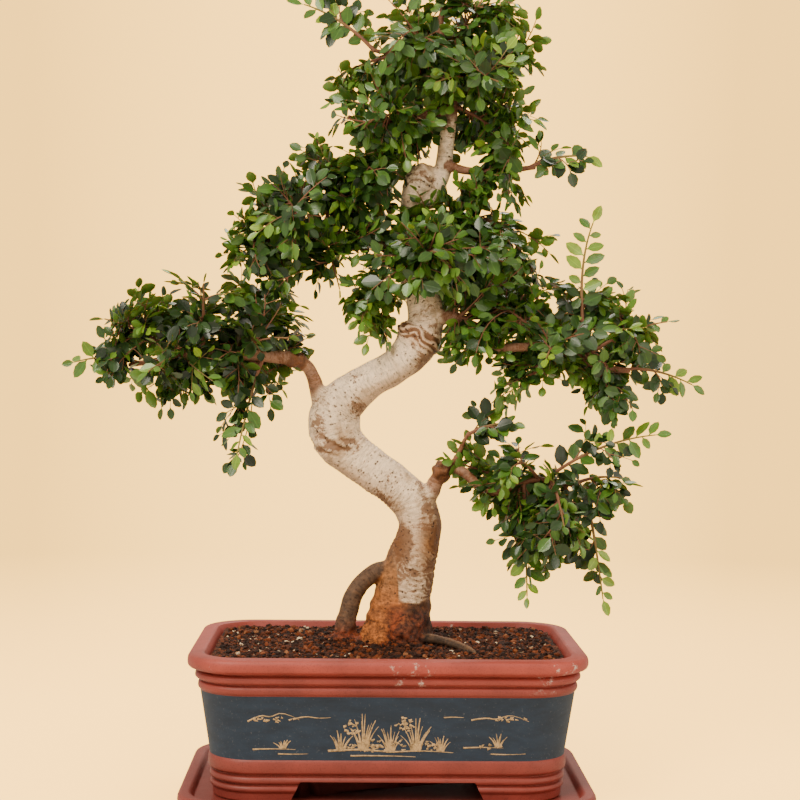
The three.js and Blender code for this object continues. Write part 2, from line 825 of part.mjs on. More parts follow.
// One closed surface for a spray. A stem is four-edged, with a ridge above and below and
// an edge on each side, and a leaf or twig opens out of four corners on an edge.
class SpraySurface {
  corners = [];
  faces = [];

  point(place) {
    this.corners.push(place.x, place.y, place.z);
    return this.corners.length / 3 - 1;
  }

  face(a, b, c, turned) {
    if (turned) this.faces.push(a, c, b);
    else this.faces.push(a, b, c);
  }

  // The strip of faces between a ridge and an edge, both lists of share and corner
  strip(ridge, edge, turned) {
    let [i, j] = [0, 0];
    while (i < ridge.length - 1 || j < edge.length - 1) {
      const nextRidge = ridge[i + 1]?.share ?? Infinity;
      const nextEdge = edge[j + 1]?.share ?? Infinity;
      if (nextEdge <= nextRidge) {
        this.face(ridge[i].corner, edge[j].corner, edge[j + 1].corner, turned);
        j++;
      } else {
        this.face(ridge[i].corner, edge[j].corner, ridge[i + 1].corner, turned);
        i++;
      }
    }
  }

  // A leaf on four corners: its faces spread from the upper and the lower one.
  leaf({ left, right, tip }, base) {
    const [l1, l2, r1, r2] = [...left, ...right].map((place) => this.point(place));
    const round = [base.left, l1, l2, this.point(tip), r2, r1, base.right];
    for (let i = 0; i < round.length - 1; i++) {
      this.face(base.top, round[i], round[i + 1], false);
      this.face(base.bottom, round[i], round[i + 1], true);
    }
  }

  // A corner of a stem's outline, by its share of the stem and how far out it stands
  corner({ path, thick, thin, middle }, share, sideways, upwards) {
    const { at, side, up } = stemFrame(path, share, middle);
    const radius = THREE.MathUtils.lerp(thick, thin, share);
    at.addScaledVector(side, sideways * radius).addScaledVector(up, upwards * radius);
    return { share, corner: this.point(at) };
  }

  // One edge of a stem, as seen from above and from below, with what grows out of it
  edge(plan, turn, start) {
    const half = BUD.width / 2 / plan.path.getLength();
    const buds = [...plan.settled, ...plan.twigs].filter((bud) => bud.turn === turn);
    buds.sort((a, b) => a.share - b.share);
    const [upper, lower] = [[start], [start]];
    for (const bud of buds) {
      const near = this.corner(plan, bud.share - half, turn, 0);
      const far = this.corner(plan, bud.share + half, turn, 0);
      const above = this.corner(plan, bud.share, BUD.sideways * turn, BUD.upwards);
      const below = this.corner(plan, bud.share, BUD.sideways * turn, -BUD.upwards);
      upper.push(near, above, far);
      lower.push(near, below, far);
      const [left, right] = turn > 0 ? [far.corner, near.corner] : [near.corner, far.corner];
      const base = { left, right, top: above.corner, bottom: below.corner };
      if (bud.points) this.leaf(bud.points, base);
      else this.stem(bud, base);
    }
    const end = this.corner(plan, 1, turn, 0);
    return { upper: [...upper, end], lower: [...lower, end], end: end.corner };
  }

  // A stem with its leaves and twigs, from its seat or from four corners of its parent
  stem(plan, base) {
    const { from, settled } = plan;
    const ridge = (upwards, start) => [
      start === undefined ? this.corner(plan, from, 0, upwards) : { share: 0, corner: start },
      ...(base ? [1] : [0.35, 0.7, 1]).map((share) =>
        this.corner(plan, from + share * (1 - from), 0, upwards),
      ),
    ];
    const above = ridge(1, base?.top);
    const below = ridge(-1, base?.bottom);
    const starts = { left: base?.left, right: base?.right };
    const ends = { top: above.at(-1).corner, bottom: below.at(-1).corner };
    for (const [key, turn] of [["left", -1], ["right", 1]]) {
      const start = base ? { share: 0, corner: starts[key] } : this.corner(plan, from, turn, 0);
      const { upper, lower, end } = this.edge(plan, turn, start);
      this.strip(above, upper, turn > 0);
      this.strip(below, lower, turn < 0);
      starts[key] = start.corner;
      ends[key] = end;
    }
    if (!base) {
      this.face(above[0].corner, starts.right, below[0].corner, false);
      this.face(above[0].corner, below[0].corner, starts.left, false);
    }
    const tipLeaf = settled.find((bud) => bud.turn === 0);
    if (tipLeaf) this.leaf(tipLeaf.points, ends);
    else {
      this.face(ends.top, ends.left, ends.right, false);
      this.face(ends.bottom, ends.left, ends.right, true);
    }
  }

  solid() {
    const geometry = new THREE.BufferGeometry();
    geometry.setAttribute("position", new THREE.Float32BufferAttribute(this.corners, 3));
    geometry.setIndex(this.faces);
    return solidOf(geometry);
  }
}

// A spray's plan whose stems are clear of the tree and of all stems placed before it
function clearPlan(stem, index, space, placed) {
  const own = `${stem.name} stem`;
  for (const sway of SWAYS) {
    const plan = sprayPlan(stem, sway, space, randomFrom(SEED + 100 * index));
    const rooms = [stemRoom(plan, 0), ...plan.twigs.map((twig) => stemRoom(twig, 0.2))];
    if (!rooms.every((room) => placed.clear(room))) continue;
    rooms.forEach((room) => placed.add(own, room));
    return plan;
  }
  throw new Error(`${stem.name} finds no clear way`);
}

function sprayMeshes(space) {
  const random = randomFrom(SEED);
  const stems = [...PADS.flatMap((pad) => padStems(pad, random)), ...SHOOTS.map(shootStem)];
  for (const stem of stems) {
    for (const place of [stem.start, stem.tip, stem.middle]) if (place) place.z += SOIL.level;
  }
  const placed = new Placed();
  placed.add("tree", space);
  const plans = stems.map((stem, i) => clearPlan(stem, i, space, placed));
  return stems.map(({ name, middle }, i) => {
    const leafDraw = randomFrom(SEED + 100 * i + 50);
    for (const stem of [plans[i], ...plans[i].twigs]) {
      settleLeaves(stem, name, middle, placed, leafDraw);
    }
    const surface = new SpraySurface();
    surface.stem(plans[i]);
    return meshOf(name, surface.solid(), FOLIAGE);
  });
}

const space = treeSolid(SEAT_GAP);
const bonsai = new THREE.Group();
bonsai.add(
  meshOf("tray", traySolid(), RED_CLAY),
  meshOf("pot", potSolid(), RED_CLAY),
  meshOf("drain_screen_left", screenSolid(-DRAIN.x), SCREEN),
  meshOf("drain_screen_right", screenSolid(DRAIN.x), SCREEN),
  meshOf("soil", largestBody(soilSolid(space)), EARTH),
  meshOf("tree", treeSolid(0), BARK),
  ...sprayMeshes(space),
);
export default bonsai;
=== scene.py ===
"""Elm bonsai: the tree, its foliage, the soil, the clay pot and the drip tray.

Metres, +Z up, +X to the right of the front view and +Y away from it. The origin is the
centre of the tray's flat underside. Heights of the tree are counted from the soil.
"""
import math
import random
from types import SimpleNamespace

import bpy
import numpy as np
from bpy.props import FloatProperty, FloatVectorProperty, IntProperty, PointerProperty
from mathutils import Matrix, Vector
from mathutils.bvhtree import BVHTree
from mathutils.kdtree import KDTree


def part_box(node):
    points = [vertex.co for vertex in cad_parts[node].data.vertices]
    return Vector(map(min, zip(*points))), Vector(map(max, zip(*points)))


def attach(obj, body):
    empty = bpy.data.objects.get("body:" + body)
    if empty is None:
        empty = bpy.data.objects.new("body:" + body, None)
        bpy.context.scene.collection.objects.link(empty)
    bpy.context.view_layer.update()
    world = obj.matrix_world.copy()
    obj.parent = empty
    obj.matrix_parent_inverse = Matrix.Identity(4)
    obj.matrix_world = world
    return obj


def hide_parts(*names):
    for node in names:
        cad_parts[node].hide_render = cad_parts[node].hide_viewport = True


bl_info = {
    "name": "Elm Bonsai", "version": (1, 0, 0), "blender": (4, 5, 0),
    "location": "3D View > Sidebar > Bonsai",
    "description": "Builds an elm bonsai with its pot, tray and studio", "category": "Add Mesh"
}

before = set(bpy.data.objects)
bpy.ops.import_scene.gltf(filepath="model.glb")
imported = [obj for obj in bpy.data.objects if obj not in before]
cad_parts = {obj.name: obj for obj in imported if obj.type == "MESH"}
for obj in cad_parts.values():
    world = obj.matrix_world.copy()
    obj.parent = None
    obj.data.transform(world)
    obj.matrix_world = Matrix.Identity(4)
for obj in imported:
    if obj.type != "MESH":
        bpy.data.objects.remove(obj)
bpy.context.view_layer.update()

MM = 0.001
SEED = 20
UP = np.array([0.0, 0.0, 1.0])


def linear(hex_colour):
    """Turns an sRGB hex colour into the linear values that a shader takes."""
    parts = [int(hex_colour[i : i + 2], 16) / 255 for i in (1, 3, 5)]
    return tuple(p / 12.92 if p <= 0.04045 else ((p + 0.055) / 1.055) ** 2.4 for p in parts)


def colour_property(name, description, hex_colour):
    """A colour setting."""
    colour = linear(hex_colour)
    return FloatVectorProperty(
        name=name, description=description, subtype="COLOR", size=3, min=0, max=1, default=colour
    )


def length_property(name, description, metres):
    """A setting in metres."""
    return FloatProperty(name=name, description=description, default=metres, unit="LENGTH")


class PotSettings(bpy.types.PropertyGroup):
    """The clay pot and its tray."""

    corner: length_property("Corner", "Radius of the rim's corners, seen from above", 0.042)
    wall: length_property("Rim width", "Width of the rim round the pot's mouth", 0.015)
    clay: colour_property("Clay", "Colour of the fired red clay", "#A2453A")
    slip: colour_property("Panel", "Colour of the slate slip on the pot's sides", "#1F2D3E")
    line: colour_property("Drawing", "Colour of the drawing on the panel", "#C2A070")
    lime: colour_property("Lime", "Colour of the lime stains on the rim", "#D9C4B4")


class SoilSettings(bpy.types.PropertyGroup):
    """The soil and its loose crumbs."""

    grain: length_property("Crumb", "Size of a common soil crumb", 0.0036)
    crumbs: IntProperty(name="Crumbs", description="How many crumbs lie on the soil", default=3200)
    grains: IntProperty(name="Grains", description="How many fine grains lie on the soil", default=4600)
    dark: colour_property("Dark soil", "Colour of the damp soil", "#241006")
    warm: colour_property("Warm soil", "Colour of the clay crumbs", "#5A2A0F")
    red: colour_property("Red soil", "Colour of the reddest crumbs", "#74340E")
    pale: colour_property("Pale grit", "Colour of the few pale grains", "#D8C2A0")


class BarkSettings(bpy.types.PropertyGroup):
    """The trunk, roots and limbs."""

    voxel: length_property("Detail", "Size of the wood's mesh", 0.00125)
    pale: colour_property("Pale bark", "Colour of the trunk's smooth bark", "#FFE2BE")
    limb: colour_property("Limb bark", "Colour of the limbs' bark", "#93654C")
    brown: colour_property("Old bark", "Colour of the brown patches", "#6E4424")
    knob: colour_property("Knob bark", "Colour of the healed knobs", "#7A4C34")
    # The low bark's colour also paints shade on the trunk's downward faces and light on the surface root's
    # upward faces
    low_bark_and_painted_shading: colour_property("Weathered bark", "Colour of the trunk's low bark", "#94653A")
    root: colour_property("Root bark", "Colour of the arching root", "#5C4330")
    # Painted shadow at the trunk's foot right of the bark's tongue, and the roots' own dark skin at the
    # soil
    shadow: colour_property("Root skin", "Colour of the dark roots at the soil", "#463324")
    foot: colour_property("Foot", "Colour of the buttress at the trunk's foot", "#A4602C")
    lump: colour_property("Root mat", "Colour of the rough lump at the foot", "#7A3418")
    twig: colour_property("Twigs", "Colour of the reddish twigs", "#84563E")


class LeafSettings(bpy.types.PropertyGroup):
    """The leaves and twigs of the foliage."""

    length: length_property("Leaf length", "Length of a grown leaf", 0.0168)
    breadth: length_property("Leaf breadth", "Breadth of a grown leaf", 0.0106)
    thickness: length_property("Leaf thickness", "Thickness of a leaf", 0.0004)
    spacing: length_property("Leaf spacing", "Distance between leaves on a twig", 0.0056)
    twigs: FloatProperty(
        name="Twigs", description="Side twigs for a square centimetre of a lobe", default=2.0
    )
    deep: colour_property("Grown leaf", "Colour of a grown leaf", "#2D4C1C")
    middle: colour_property("Lit leaf", "Colour of a younger leaf", "#557F2A")
    fresh: colour_property("New leaf", "Colour of a new leaf at a twig's tip", "#8EAE2E")
    under: colour_property("Underside", "Colour of a leaf's underside", "#6E9438")


class StudioSettings(bpy.types.PropertyGroup):
    """The floor, lights and camera."""

    floor: colour_property("Floor", "Colour of the floor's paper", "#F2BC62")
    wall: colour_property("Backdrop", "Colour of the lit backdrop", "#FFC45C")
    reach: length_property("Floor", "Radius of the floor", 2.4)
    lens: FloatProperty(
        name="Lens", description="Focal length in millimetres on a 36 mm sensor", default=76.3
    )


SETTINGS = {
    "bonsai_pot": PotSettings, "bonsai_soil": SoilSettings, "bonsai_bark": BarkSettings,
    "bonsai_leaf": LeafSettings, "bonsai_studio": StudioSettings
}

# The soil's level inside the pot, from which the tree's heights are counted, and how much its
# loose top adds to it, in mm
SOIL_LEVEL = 122
SOIL_FILL = 2.6

# Limbs: points along the middle of each, as x, y, height over the soil, and radius, in mm
LIMBS = {
    "trunk": [
        (6, 0, -24, 22), (7, 0, -8, 32), (7, 0, 4, 32.5), (9, 1, 24, 28.5), (12, 2, 46, 24),
        (18, 3, 69, 20.5), (24, 4, 87, 19.5), (27.5, 5, 104, 18.8), (21, 6, 123, 18.2),
        (4, 8, 139, 17.5), (-13, 9, 150, 17.5), (-30, 10, 162, 19.5), (-42.5, 10, 174, 22),
        (-48, 9, 190, 23), (-43, 7, 206, 20.2), (-30, 5, 217, 16.5), (-14, 2, 228, 15),
        (6, -1, 240, 15.5), (20, -3, 253, 17.8), (26, -4, 264, 18.6), (30, -4, 273, 15.3),
        (30, -2, 286, 14.5), (23, 2, 309, 13.5), (16, 5, 334, 12.6), (17, 6, 360, 12), (20, 5, 379, 12),
        (24, 4, 393, 13.6), (25.5, 3, 402, 12.8), (25, 3, 410, 9)
    ],
    "leader": [
        (28, 3, 378, 9), (37, 3, 391, 8), (43, 3, 404, 7.4), (45, 2, 417, 7.2), (46, 1, 430, 7),
        (48, 0, 444, 6.4), (50, 0, 458, 5.8), (50, 0, 476, 5), (46, 1, 500, 4.2), (40, 2, 525, 3.3),
        (42, 2, 545, 2.2)
    ],
    "archRoot": [
        (16, 0, 68, 9), (0, -2, 66, 8), (-11, -3, 63, 7.8), (-21, -4, 55, 7.8), (-29, -5, 44, 8),
        (-33, -6, 30, 8.6), (-35, -6, 14, 10.5), (-35, -6, -2, 12), (-38, -8, -16, 7)
    ],
    "surfaceRoot": [
        (18, -14, 8, 8), (32, -20, 10, 4.4), (45, -24, 9, 3.8), (58, -30, 6, 3.6), (69, -40, 2, 3.5),
        (78, -52, -4, 3)
    ],
    "backRoot": [(6, 14, 4, 12), (2, 34, -3, 7), (-6, 56, -12, 4)],
    "leftRoot": [(-12, 8, 0, 12), (-34, 18, -10, 7), (-62, 24, -20, 3.5)],
    "rightRoot": [(20, 6, 0, 13), (46, 14, -7, 7), (80, 18, -18, 3.5)],
    "left": [
        (-48, 9, 192, 15), (-56, 7, 206, 10.5), (-61.5, 4, 219, 7), (-65.5, 1, 230, 5.8),
        (-71, -2, 239, 5.6), (-82, -5, 244.5, 6), (-95, -8, 246, 5.6), (-115, -12, 247, 5.2),
        (-150, -16, 247, 4.4), (-187, -10, 243, 3.4), (-222, -2, 238, 2.2)
    ],
    "rightLow": [
        (27, 4, 120, 12), (35, 2, 131, 8.4), (40, 0, 141, 6.4), (46, -2, 150, 6.8), (56, -4, 153, 4.8),
        (66, -8, 148, 4.3), (77, -12, 138, 4), (92, -14, 133, 3.4), (105, -15, 138, 3),
        (121, -14, 144, 2.8), (146, -12, 142, 2.6), (176, -8, 135, 1.8)
    ],
    "lowTwig": [(48, -3, 151, 4), (57, -7, 161, 2.6), (62, -8, 173, 2.2), (68, -10, 185, 1.6)],
    "rightMid": [
        (26, -3, 280, 10), (40, -8, 281, 7), (55, -14, 280, 5.4), (77, -20, 268, 4.7),
        (92, -26, 256, 4.2), (107, -28, 256, 4), (132, -26, 257, 3.8), (156, -22, 251, 3.8),
        (176, -18, 241, 4.2), (204, -10, 237, 2.2)
    ],
    "midLeft": [
        (17, 5, 336, 10), (-4, 10, 343, 6.8), (-35, 16, 349, 5.6), (-75, 20, 355, 4.6),
        (-108, 18, 361, 2.8)
    ],
    "back": [(22, 4, 306, 10), (20, 22, 308, 6.6), (14, 46, 315, 5.2), (6, 74, 322, 3)],
    "leaderLeft": [
        (49, 0, 457, 4.8), (24, -4, 452, 3.5), (5, -6, 446, 3.2), (-14, -8, 444, 2.8),
        (-38, -10, 449, 2)
    ],
    "leaderRight": [(44, 1, 412, 4.8), (62, -4, 406, 3.5), (88, -8, 405, 3), (122, -10, 409, 2.2)],
    "leaderBack": [(46, 1, 435, 4.6), (42, 26, 444, 3.2), (38, 50, 452, 2)],
    "crownRight": [(49, 0, 474, 4.4), (68, 3, 485, 3), (96, 4, 494, 2)],
    "crownLeft": [(46, 1, 494, 4), (16, 4, 503, 2.8), (-18, 4, 508, 1.8)]
}

# Knobs where branches were cut back: x, y, height, radius, and how flat it is
KNOBS = [(-80, -4, 243, 7.4, 0.85), (45, -3, 151, 8.6, 0.9), (177, -18, 243, 6, 0.8)]

# Rough lumps of fine roots at the trunk's foot: x, y, height, radius, and how flat it is
FOOT_LUMPS = [
    (13, -19, 12, 15.5, 1.15), (22, -15, 22, 11, 1.1), (4, -24, -3, 14, 0.8), (-35, -9, 3, 15, 0.75)
]

# Marks in the bark: x and height of the middle of each, its half sizes, and how strong it is
PORE_MARKS = [
    (-52, 199, 14, 14, 0.36), (-38, 217, 12, 10, 0.24), (-8, 146, 16, 14, 0.26), (22, 250, 12, 8, 0.3),
    (10, 92, 10, 16, 0.34), (38, 104, 8, 18, 0.22), (-30, 205, 10, 8, 0.2), (12, 394, 20, 12, 0.1)
]
BROWN_MARKS = [
    (-47, 172, 24, 8, 0.26), (-28, 203, 9, 9, 0.2), (-58, 180, 8, 14, 0.2), (-10, 125, 15, 10, 0.24),
    (11, 90, 10, 15, 0.4), (33, 110, 8, 16, 0.2), (42, 96, 7, 26, 0.24), (36, 60, 7, 22, 0.24),
    (30, 242, 11, 12, 0.24), (16, 62, 14, 8, 0.14), (-34, 232, 14, 8, 0.1), (0, 146, 14, 12, 0.1)
]

# Heights over the soil, in mm, of the swollen callus ring and of the trunk's cut-back top
CALLUS_RING = 263
CALLUS_TOP = 398

# Pads of foliage: the limbs that carry each, its middle and half sizes, and its sprays
PADS = [
    ("left", ["left"], (-156, -4, 254), (98, 80, 64), 8),
    ("mid_left", ["midLeft"], (-72, 10, 357), (80, 82, 68), 6),
    ("middle", ["trunk", "back", "rightMid"], (44, 12, 322), (88, 96, 62), 6),
    (
        "crown", ["leader", "leaderLeft", "leaderRight", "leaderBack", "crownRight", "crownLeft"],
        (40, 2, 478), (104, 92, 88), 10
    ),
    ("right", ["rightMid"], (152, -14, 262), (96, 82, 62), 7),
    ("low_right", ["rightLow"], (134, -12, 128), (72, 68, 48), 5)
]

# Shares of a pad's half size: where its tips lie, how far they vary, and the place from which
# the nearest start on a limb is sought
PAD_OUT = 0.98
PAD_DEEP = 0.14
PAD_ROOT = 0.3

# How much lighter or darker the leaves of a pad are than the rest
PAD_TONES = {"left": -0.12, "crown": 0.16, "mid_left": 0.02, "middle": 0.15, "right": 0.11}

# Each pad's lobes: the middle of each over the soil, and its half sizes, in mm
LOBES = {
    "left": [
        (-190, -8, 270, 44, 56, 42), (-98, -4, 268, 34, 54, 32), (-144, -6, 266, 46, 64, 38),
        (-140, -10, 238, 54, 46, 24), (-178, -14, 226, 36, 36, 24), (-108, -2, 296, 28, 36, 16),
        (-128, -36, 196, 8, 8, 34), (-236, -4, 232, 20, 28, 14)
    ],
    "mid_left": [
        (-104, 4, 356, 40, 50, 32), (-48, 8, 374, 46, 60, 44), (-84, -8, 322, 38, 40, 22),
        (-90, 0, 390, 32, 32, 18), (-10, -10, 400, 32, 40, 34), (-8, -18, 368, 26, 28, 26),
        (-70, -2, 420, 14, 18, 10)
    ],
    "middle": [
        (27, -10, 336, 48, 58, 42), (96, -6, 316, 40, 52, 42), (-18, -20, 292, 26, 28, 36),
        (60, 30, 328, 56, 54, 44), (34, -36, 338, 28, 22, 46), (62, -16, 386, 20, 24, 22),
        (70, -26, 258, 30, 28, 20)
    ],
    "crown": [
        (6, 0, 494, 38, 54, 40), (80, 0, 506, 42, 54, 44), (46, 0, 540, 52, 50, 24),
        (-8, -6, 440, 34, 44, 34), (88, -4, 446, 30, 44, 38), (84, -10, 384, 22, 26, 16),
        (46, 22, 470, 48, 54, 50), (46, -24, 488, 32, 38, 30), (-40, 0, 474, 18, 24, 14)
    ],
    "right": [
        (176, -14, 264, 42, 56, 40), (110, -16, 262, 42, 48, 30), (206, -12, 262, 18, 32, 24),
        (138, -20, 246, 32, 34, 24), (118, -10, 300, 22, 30, 22), (94, -32, 216, 7, 7, 28),
        (192, -24, 208, 24, 20, 18)
    ],
    "low_right": [
        (112, -12, 138, 38, 44, 34), (146, -12, 118, 30, 42, 36), (126, -28, 94, 32, 28, 26),
        (72, -14, 132, 16, 18, 12), (186, -14, 130, 20, 16, 9), (58, -14, 164, 18, 14, 12)
    ]
}

# Long shoots: the limb, the share of its length where each starts, and its tip
SHOOTS = [
    ("left_droop", "left", 0.66, (-126, -46, 166)), ("left_tip", "left", 0.97, (-268, 2, 240)),
    ("right_rise", "rightMid", 0.84, (170, -16, 362)), ("right_tip", "rightMid", 0.97, (258, -4, 226)),
    ("low_droop", "rightLow", 0.78, (116, -34, 48)),
    ("low_far_droop", "rightLow", 0.97, (182, -18, 44)),
    ("low_rise", "rightLow", 0.86, (222, -34, 184)), ("low_knob", "lowTwig", 0.9, (104, -18, 192)),
    ("crown_tip", "crownLeft", 0.97, (-76, 4, 546)),
    ("crown_branch", "leaderRight", 0.94, (164, -14, 418))
]

# Stems that sway aside to clear another one, by a share of their length
SWAYS = {
    "spray_middle_6": 0.3, "spray_crown_8": -0.15, "spray_right_6": -0.15, "spray_right_rise": -0.15
}

# A stem's bend, as shares of its length: where it is and how far it lifts. Then the number of
# places along a stem.
STEM_BEND = 0.45
STEM_LIFT = 0.16
STEM_PLACES = 22


def clear_selection():
    """Leaves edit mode and deselects everything, the packed nodes too."""
    if bpy.context.mode != "OBJECT":
        bpy.ops.object.mode_set(mode="OBJECT")
    bpy.ops.object.select_all(action="DESELECT")


def pick(piece):
    """Makes one object the selected and active one."""
    clear_selection()
    piece.select_set(True)
    bpy.context.view_layer.objects.active = piece


def edit(piece, action="DESELECT", kind=None):
    """Goes to edit mode on one object, with nothing or all of it selected."""
    pick(piece)
    bpy.ops.object.mode_set(mode="EDIT")
    if kind:
        bpy.ops.mesh.select_mode(type=kind)
    bpy.ops.mesh.select_all(action=action)


def scaled(size):
    """Scales the object just added, and applies its scale and its place."""
    piece = bpy.context.active_object
    piece.scale = size
    bpy.ops.object.transform_apply(location=True, rotation=True, scale=True)
    return piece


def new_curve(name, depth, resolution):
    """A curve with a round section and closed ends."""
    curve = bpy.data.curves.new(name, "CURVE")
    curve.dimensions = "3D"
    curve.bevel_depth = depth
    curve.bevel_resolution = resolution
    curve.use_fill_caps = True
    return curve


def meshed(curve):
    """A curve turned into a mesh object."""
    holder = bpy.data.objects.new(curve.name, curve)
    bpy.context.scene.collection.objects.link(holder)
    pick(holder)
    bpy.ops.object.convert(target="MESH")
    return bpy.context.active_object


def select_faces(piece, wanted):
    """Selects the faces that pass a test and goes to edit mode."""
    edit(piece, kind="FACE")
    bpy.ops.object.mode_set(mode="OBJECT")
    for face in piece.data.polygons:
        face.select = wanted(face)
    bpy.ops.object.mode_set(mode="EDIT")


def modify(piece, kind, **settings):
    """Adds a modifier with its settings and applies it."""
    pick(piece)
    modifier = piece.modifiers.new(kind.title(), kind)
    for name, value in settings.items():
        setattr(modifier, name, value)
    bpy.ops.object.modifier_apply(modifier=modifier.name)


def close_piece(piece, name, materials, slot, *nodes):
    """Names a finished piece, gives it its materials and sets it on the tree's body."""
    pick(piece)
    bpy.ops.object.transform_apply(location=True, rotation=True, scale=True)
    clear_selection()
    piece.name = name
    piece.data.materials.clear()
    for material in materials:
        piece.data.materials.append(material)
    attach(piece, "root")
    if nodes:
        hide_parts(*nodes)


def mesh_piece(name, vertices, faces):
    """A new object from arrays of vertices and of faces with three or four corners."""
    mesh = bpy.data.meshes.new(name)
    mesh.from_pydata(vertices, [], faces)
    mesh.validate()
    piece = bpy.data.objects.new(name, mesh)
    bpy.context.scene.collection.objects.link(piece)
    return piece


def arrays_of(piece):
    """The vertices and the faces of a mesh, as an array and a list."""
    places = np.empty(len(piece.data.vertices) * 3)
    piece.data.vertices.foreach_get("co", places)
    return places.reshape(-1, 3), [tuple(face.vertices) for face in piece.data.polygons]


def point_attribute(piece, name, values, kind="FLOAT"):
    """Stores one value, or one vector, for each vertex."""
    attribute = piece.data.attributes.new(name, kind, "POINT")
    key = "value" if kind == "FLOAT" else "vector"
    attribute.data.foreach_set(key, np.ascontiguousarray(values, dtype=np.float32).ravel())


# Materials


def new_material(name):
    """A node material with its list of nodes, its shader and its object coordinates."""
    material = bpy.data.materials.new(name)
    material.use_nodes = True
    nodes = material.node_tree.nodes
    place = add(nodes, "TexCoord").outputs["Object"]
    return material, nodes, nodes["Principled BSDF"], place


def add(nodes, kind, inputs=None, stops=None, **settings):
    """Adds a shader node, sets its options, and fills or links its inputs."""
    made = nodes.new("ShaderNode" + kind)
    for name, value in settings.items():
        setattr(made, name, value)
    for i, (place, colour) in enumerate(stops or []):
        spot = made.color_ramp.elements[i] if i < 2 else made.color_ramp.elements.new(place)
        spot.position = place
        spot.color = (*colour, 1)
    feed(nodes, made, inputs or {})
    return made


def feed(nodes, made, inputs):
    """Fills a node's inputs with values or outputs. A node stands for its first output."""
    for name, value in inputs.items():
        if isinstance(value, bpy.types.Node):
            value = next(output for output in value.outputs if output.enabled)
        if isinstance(value, bpy.types.NodeSocket):
            nodes.id_data.links.new(value, made.inputs[name])
        elif hasattr(value, "__len__") and len(value) == 3 and made.inputs[name].type == "RGBA":
            made.inputs[name].default_value = (*value, 1)
        else:
            made.inputs[name].default_value = value


def grey(value):
    """A grey of one linear value."""
    return (value, value, value)


def toned(colour, share):
    """A colour made darker or lighter."""
    return tuple(min(value * share, 1) for value in colour)


def marks_of(size):
    """The scale, to two digits, of a pattern whose marks are this many mm wide."""
    return float(f"{1000 / size:.2g}")


# Options of the nodes that mix two colours, and of those that multiply them
MIXED = {"data_type": "RGBA"}
MULTIPLIED = {"data_type": "RGBA", "blend_type": "MULTIPLY"}


# Where lime from the water has settled on the pot's rim, and how far it spreads
LIME_SPOTS = [
    ((0.004, -0.113, 0.112), 0.034), ((0.03, -0.112, 0.108), 0.02), ((-0.158, -0.106, 0.117), 0.014),
    ((0.148, -0.108, 0.119), 0.018), ((-0.1, -0.112, 0.106), 0.01)
]


def fired_clay(name, settings):
    """Unglazed red earthenware: matt, mottled by the kiln, with fine grog and lime stains."""
    material, nodes, shader, place = new_material(name)
    cloud = add(
        nodes, "TexNoise", {"Vector": place, "Scale": marks_of(45), "Detail": 5, "Roughness": 0.6}
    )
    fired = add(
        nodes, "ValToRGB", {"Fac": cloud},
        stops=[(0.3, toned(settings.clay, 0.74)), (0.72, toned(settings.clay, 1.2))]
    )

    # Real grog is finer. It is drawn a millimetre wide so that it shows.
    grog = add(nodes, "TexNoise", {"Vector": place, "Scale": marks_of(1.11), "Detail": 3})
    speck = add(nodes, "ValToRGB", {"Fac": grog}, stops=[(0.34, grey(0.6)), (0.46, grey(1))])
    speckled = add(nodes, "Mix", {0: 0.55, 6: fired, 7: speck}, **MULTIPLIED)

    # Painted shade: the clay is painted darker below the rim's top, down to two thirds below 10 cm, the
    # tray's clay too
    height = add(nodes, "SeparateXYZ", {"Vector": place}).outputs["Z"]
    painted_low_shade = add(
        nodes, "MapRange", {"Value": height, "From Min": 0.1, "From Max": 0.12, "To Min": 0.66}
    )
    shaded_below_rim = add(nodes, "Mix", {0: 1.0, 6: speckled, 7: painted_low_shade}, **MULTIPLIED)

    # Lime has settled in drifts at some spots
    stain = add(
        nodes, "TexNoise", {"Vector": place, "Scale": marks_of(9), "Detail": 8, "Roughness": 0.75}
    )
    spread = add(nodes, "TexNoise", {"Vector": place, "Scale": marks_of(143), "Detail": 2})
    both = add(nodes, "Math", {0: stain, 1: spread}, operation="MULTIPLY")
    near = 0.0
    for spot, reach in LIME_SPOTS:
        gap = add(nodes, "VectorMath", {0: place, 1: spot}, operation="DISTANCE")
        close = add(nodes, "MapRange", {"Value": gap, "From Min": reach, "From Max": 0, "To Max": 0.1})
        nearer = add(nodes, "Math", {0: close, 1: near}, operation="MAXIMUM")
        near = nearer
    settled = add(nodes, "Math", {0: both, 1: near}, operation="ADD")
    high = add(nodes, "MapRange", {"Value": height, "From Min": 0.1, "From Max": 0.11})
    stained = add(nodes, "ValToRGB", {"Fac": settled}, stops=[(0.355, grey(0)), (0.4, grey(0.8))])
    rim_stain = add(nodes, "Math", {0: stained, 1: high}, operation="MULTIPLY")
    colour = add(nodes, "Mix", {0: rim_stain, 6: shaded_below_rim, 7: settings.lime}, **MIXED)
    bump = add(nodes, "Bump", {"Height": grog, "Strength": 0.12, "Distance": 0.0006})
    wave = add(nodes, "Bump", {"Height": stain, "Strength": 0.25, "Distance": 0.0012, "Normal": bump})
    feed(
        nodes, shader,
        {"Base Color": colour, "Roughness": 0.5, "Specular IOR Level": 0.42, "Normal": wave}
    )
    return material


